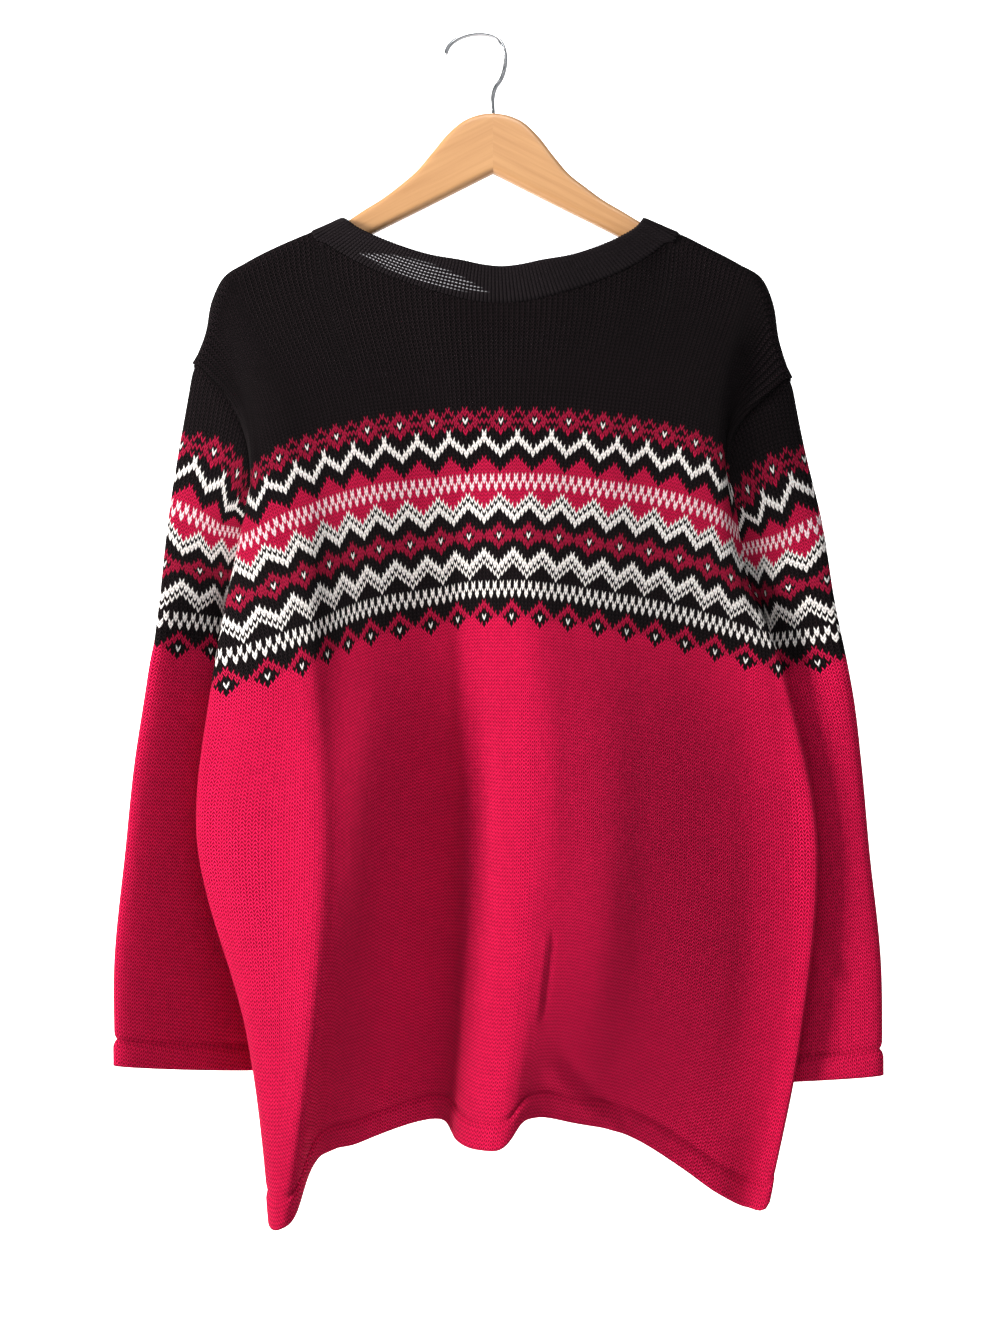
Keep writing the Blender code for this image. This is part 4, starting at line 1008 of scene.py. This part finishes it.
def arm_rings(side):
    """Half the hanger's outline as a smooth line from the joint's top round to its underside,
    repeated inwards and to the faces along a quarter circle."""
    knots = np.array(ARM_OUTLINE)[:, [0, 1 if side < 0 else 2]]
    run = run_along(knots)
    line = smooth_curve(run, knots, np.linspace(0.0, run[-1], 180))
    line[:, 0] = np.maximum(line[:, 0], JOINT_GAP)
    ahead = np.gradient(line, axis=0)
    inward = np.stack([ahead[:, 1], -ahead[:, 0]], -1)
    inward[0], inward[-1] = (0.0, -1.0), (0.0, 1.0)
    inward = inward / np.linalg.norm(inward, axis=1, keepdims=True)
    turn = np.linspace(0.0, 0.5 * math.pi, 7)
    inset = np.concatenate([[1.6 * ROUNDING], ROUNDING * (1.0 - np.sin(turn))])
    depth = np.concatenate([[0.0], ROUNDING * (1.0 - np.cos(turn))]) - 0.5 * THICKNESS
    inset, depth = np.concatenate([inset, inset[::-1]]), np.concatenate([depth, -depth[::-1]])
    flat = line + inward * inset[:, None, None]
    y = np.broadcast_to(depth[:, None], flat.shape[:2])
    return np.stack([side * flat[..., 0] + HANG_X, y, flat[..., 1]], -1)


for side, end in ((-1.0, "left"), (1.0, "right")):
    wood, tree, inputs = new_material("varnished wood " + end, VARNISH)
    where = add(tree, "TexCoord").outputs["Object"]
    values = {"Vector": where, "Angle": -side * GRAIN_SLOPE}
    turned = add(tree, "VectorRotate", values, rotation_type="Y_AXIS")
    drawn = add(tree, "VectorMath", [turned.outputs[0], GRAIN_STRETCH], operation="MULTIPLY").outputs[0]
    grain = noise(tree, 1.6, 6.0, drawn, 0.6)
    color = blend(stretch(grain, 0.35, 0.68), WOOD_LIGHT, WOOD_DARK)
    bump = add(tree, "Bump", {"Strength": 0.2, "Distance": 0.0003, "Height": grain}).outputs[0]
    feed(inputs, {"Base Color": color, "Normal": bump})
    piece = rounds("arm_" + end, arm_rings(side), side < 0, wood)
    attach(piece, "root")
    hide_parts("hanger_arm_" + end)

# The hook: one bent chromed wire, 3.4 mm thick, with a rounded free end. Its stem stands in the
# notch between the hanger's halves and ends on the wood.

# The hook's wire: its stem, its bend out to the right and its round crown.
WIRE = table(
    "x z",
    (.0000, -.0622), (-.0004, -.0545), (-.0002, -.0490),
    (.0020, -.0412), (.0062, -.0350), (.0092, -.0262),
    (.0098, -.0160), (.0076, -.0075), (.0030, -.0016),
    (-.0034, .0010), (-.0110, .0018), (-.0186, .0010),
    (-.0265, -.0016), (-.0325, -.0054), (-.0362, -.0098),
    (-.0376, -.0136),
)
WIRE_RADIUS = 0.0017
CHROME = {"Base Color": (0.50, 0.50, 0.51, 1.0), "Metallic": 1.0}
run = run_along(WIRE)
path = smooth_curve(run, WIRE, np.linspace(0.0, run[-1], 140))
ahead = np.gradient(path, axis=0)
ahead = ahead / np.linalg.norm(ahead, axis=1, keepdims=True)
turn = np.linspace(0.0, 0.48 * math.pi, 7)[1:]
tip = path[-1] + ahead[-1] * (WIRE_RADIUS * np.sin(turn))[:, None]
path = np.concatenate([path[:1], path, tip])
ahead = np.concatenate([ahead[:1], ahead, np.broadcast_to(ahead[-1], tip.shape)])
radius = WIRE_RADIUS * np.concatenate([[0.7], np.ones(140), np.cos(turn)])
around = np.linspace(0.0, math.tau, 17)[:-1]
out, deep = radius[:, None] * np.cos(around), radius[:, None] * np.sin(around)
rings = np.stack([path[:, :1] - ahead[:, 1:] * out + HANG_X, deep, path[:, 1:] + ahead[:, :1] * out], -1)
chrome, tree, inputs = new_material("chromed wire", CHROME)
smear = stretch(noise(tree, 160.0, 3.0), 0.3, 0.7, 0.12, 0.26)
feed(inputs, {"Roughness": smear})
hook = rounds("hook", rings, True, chrome)
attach(hook, "root")
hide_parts("hanger_hook")
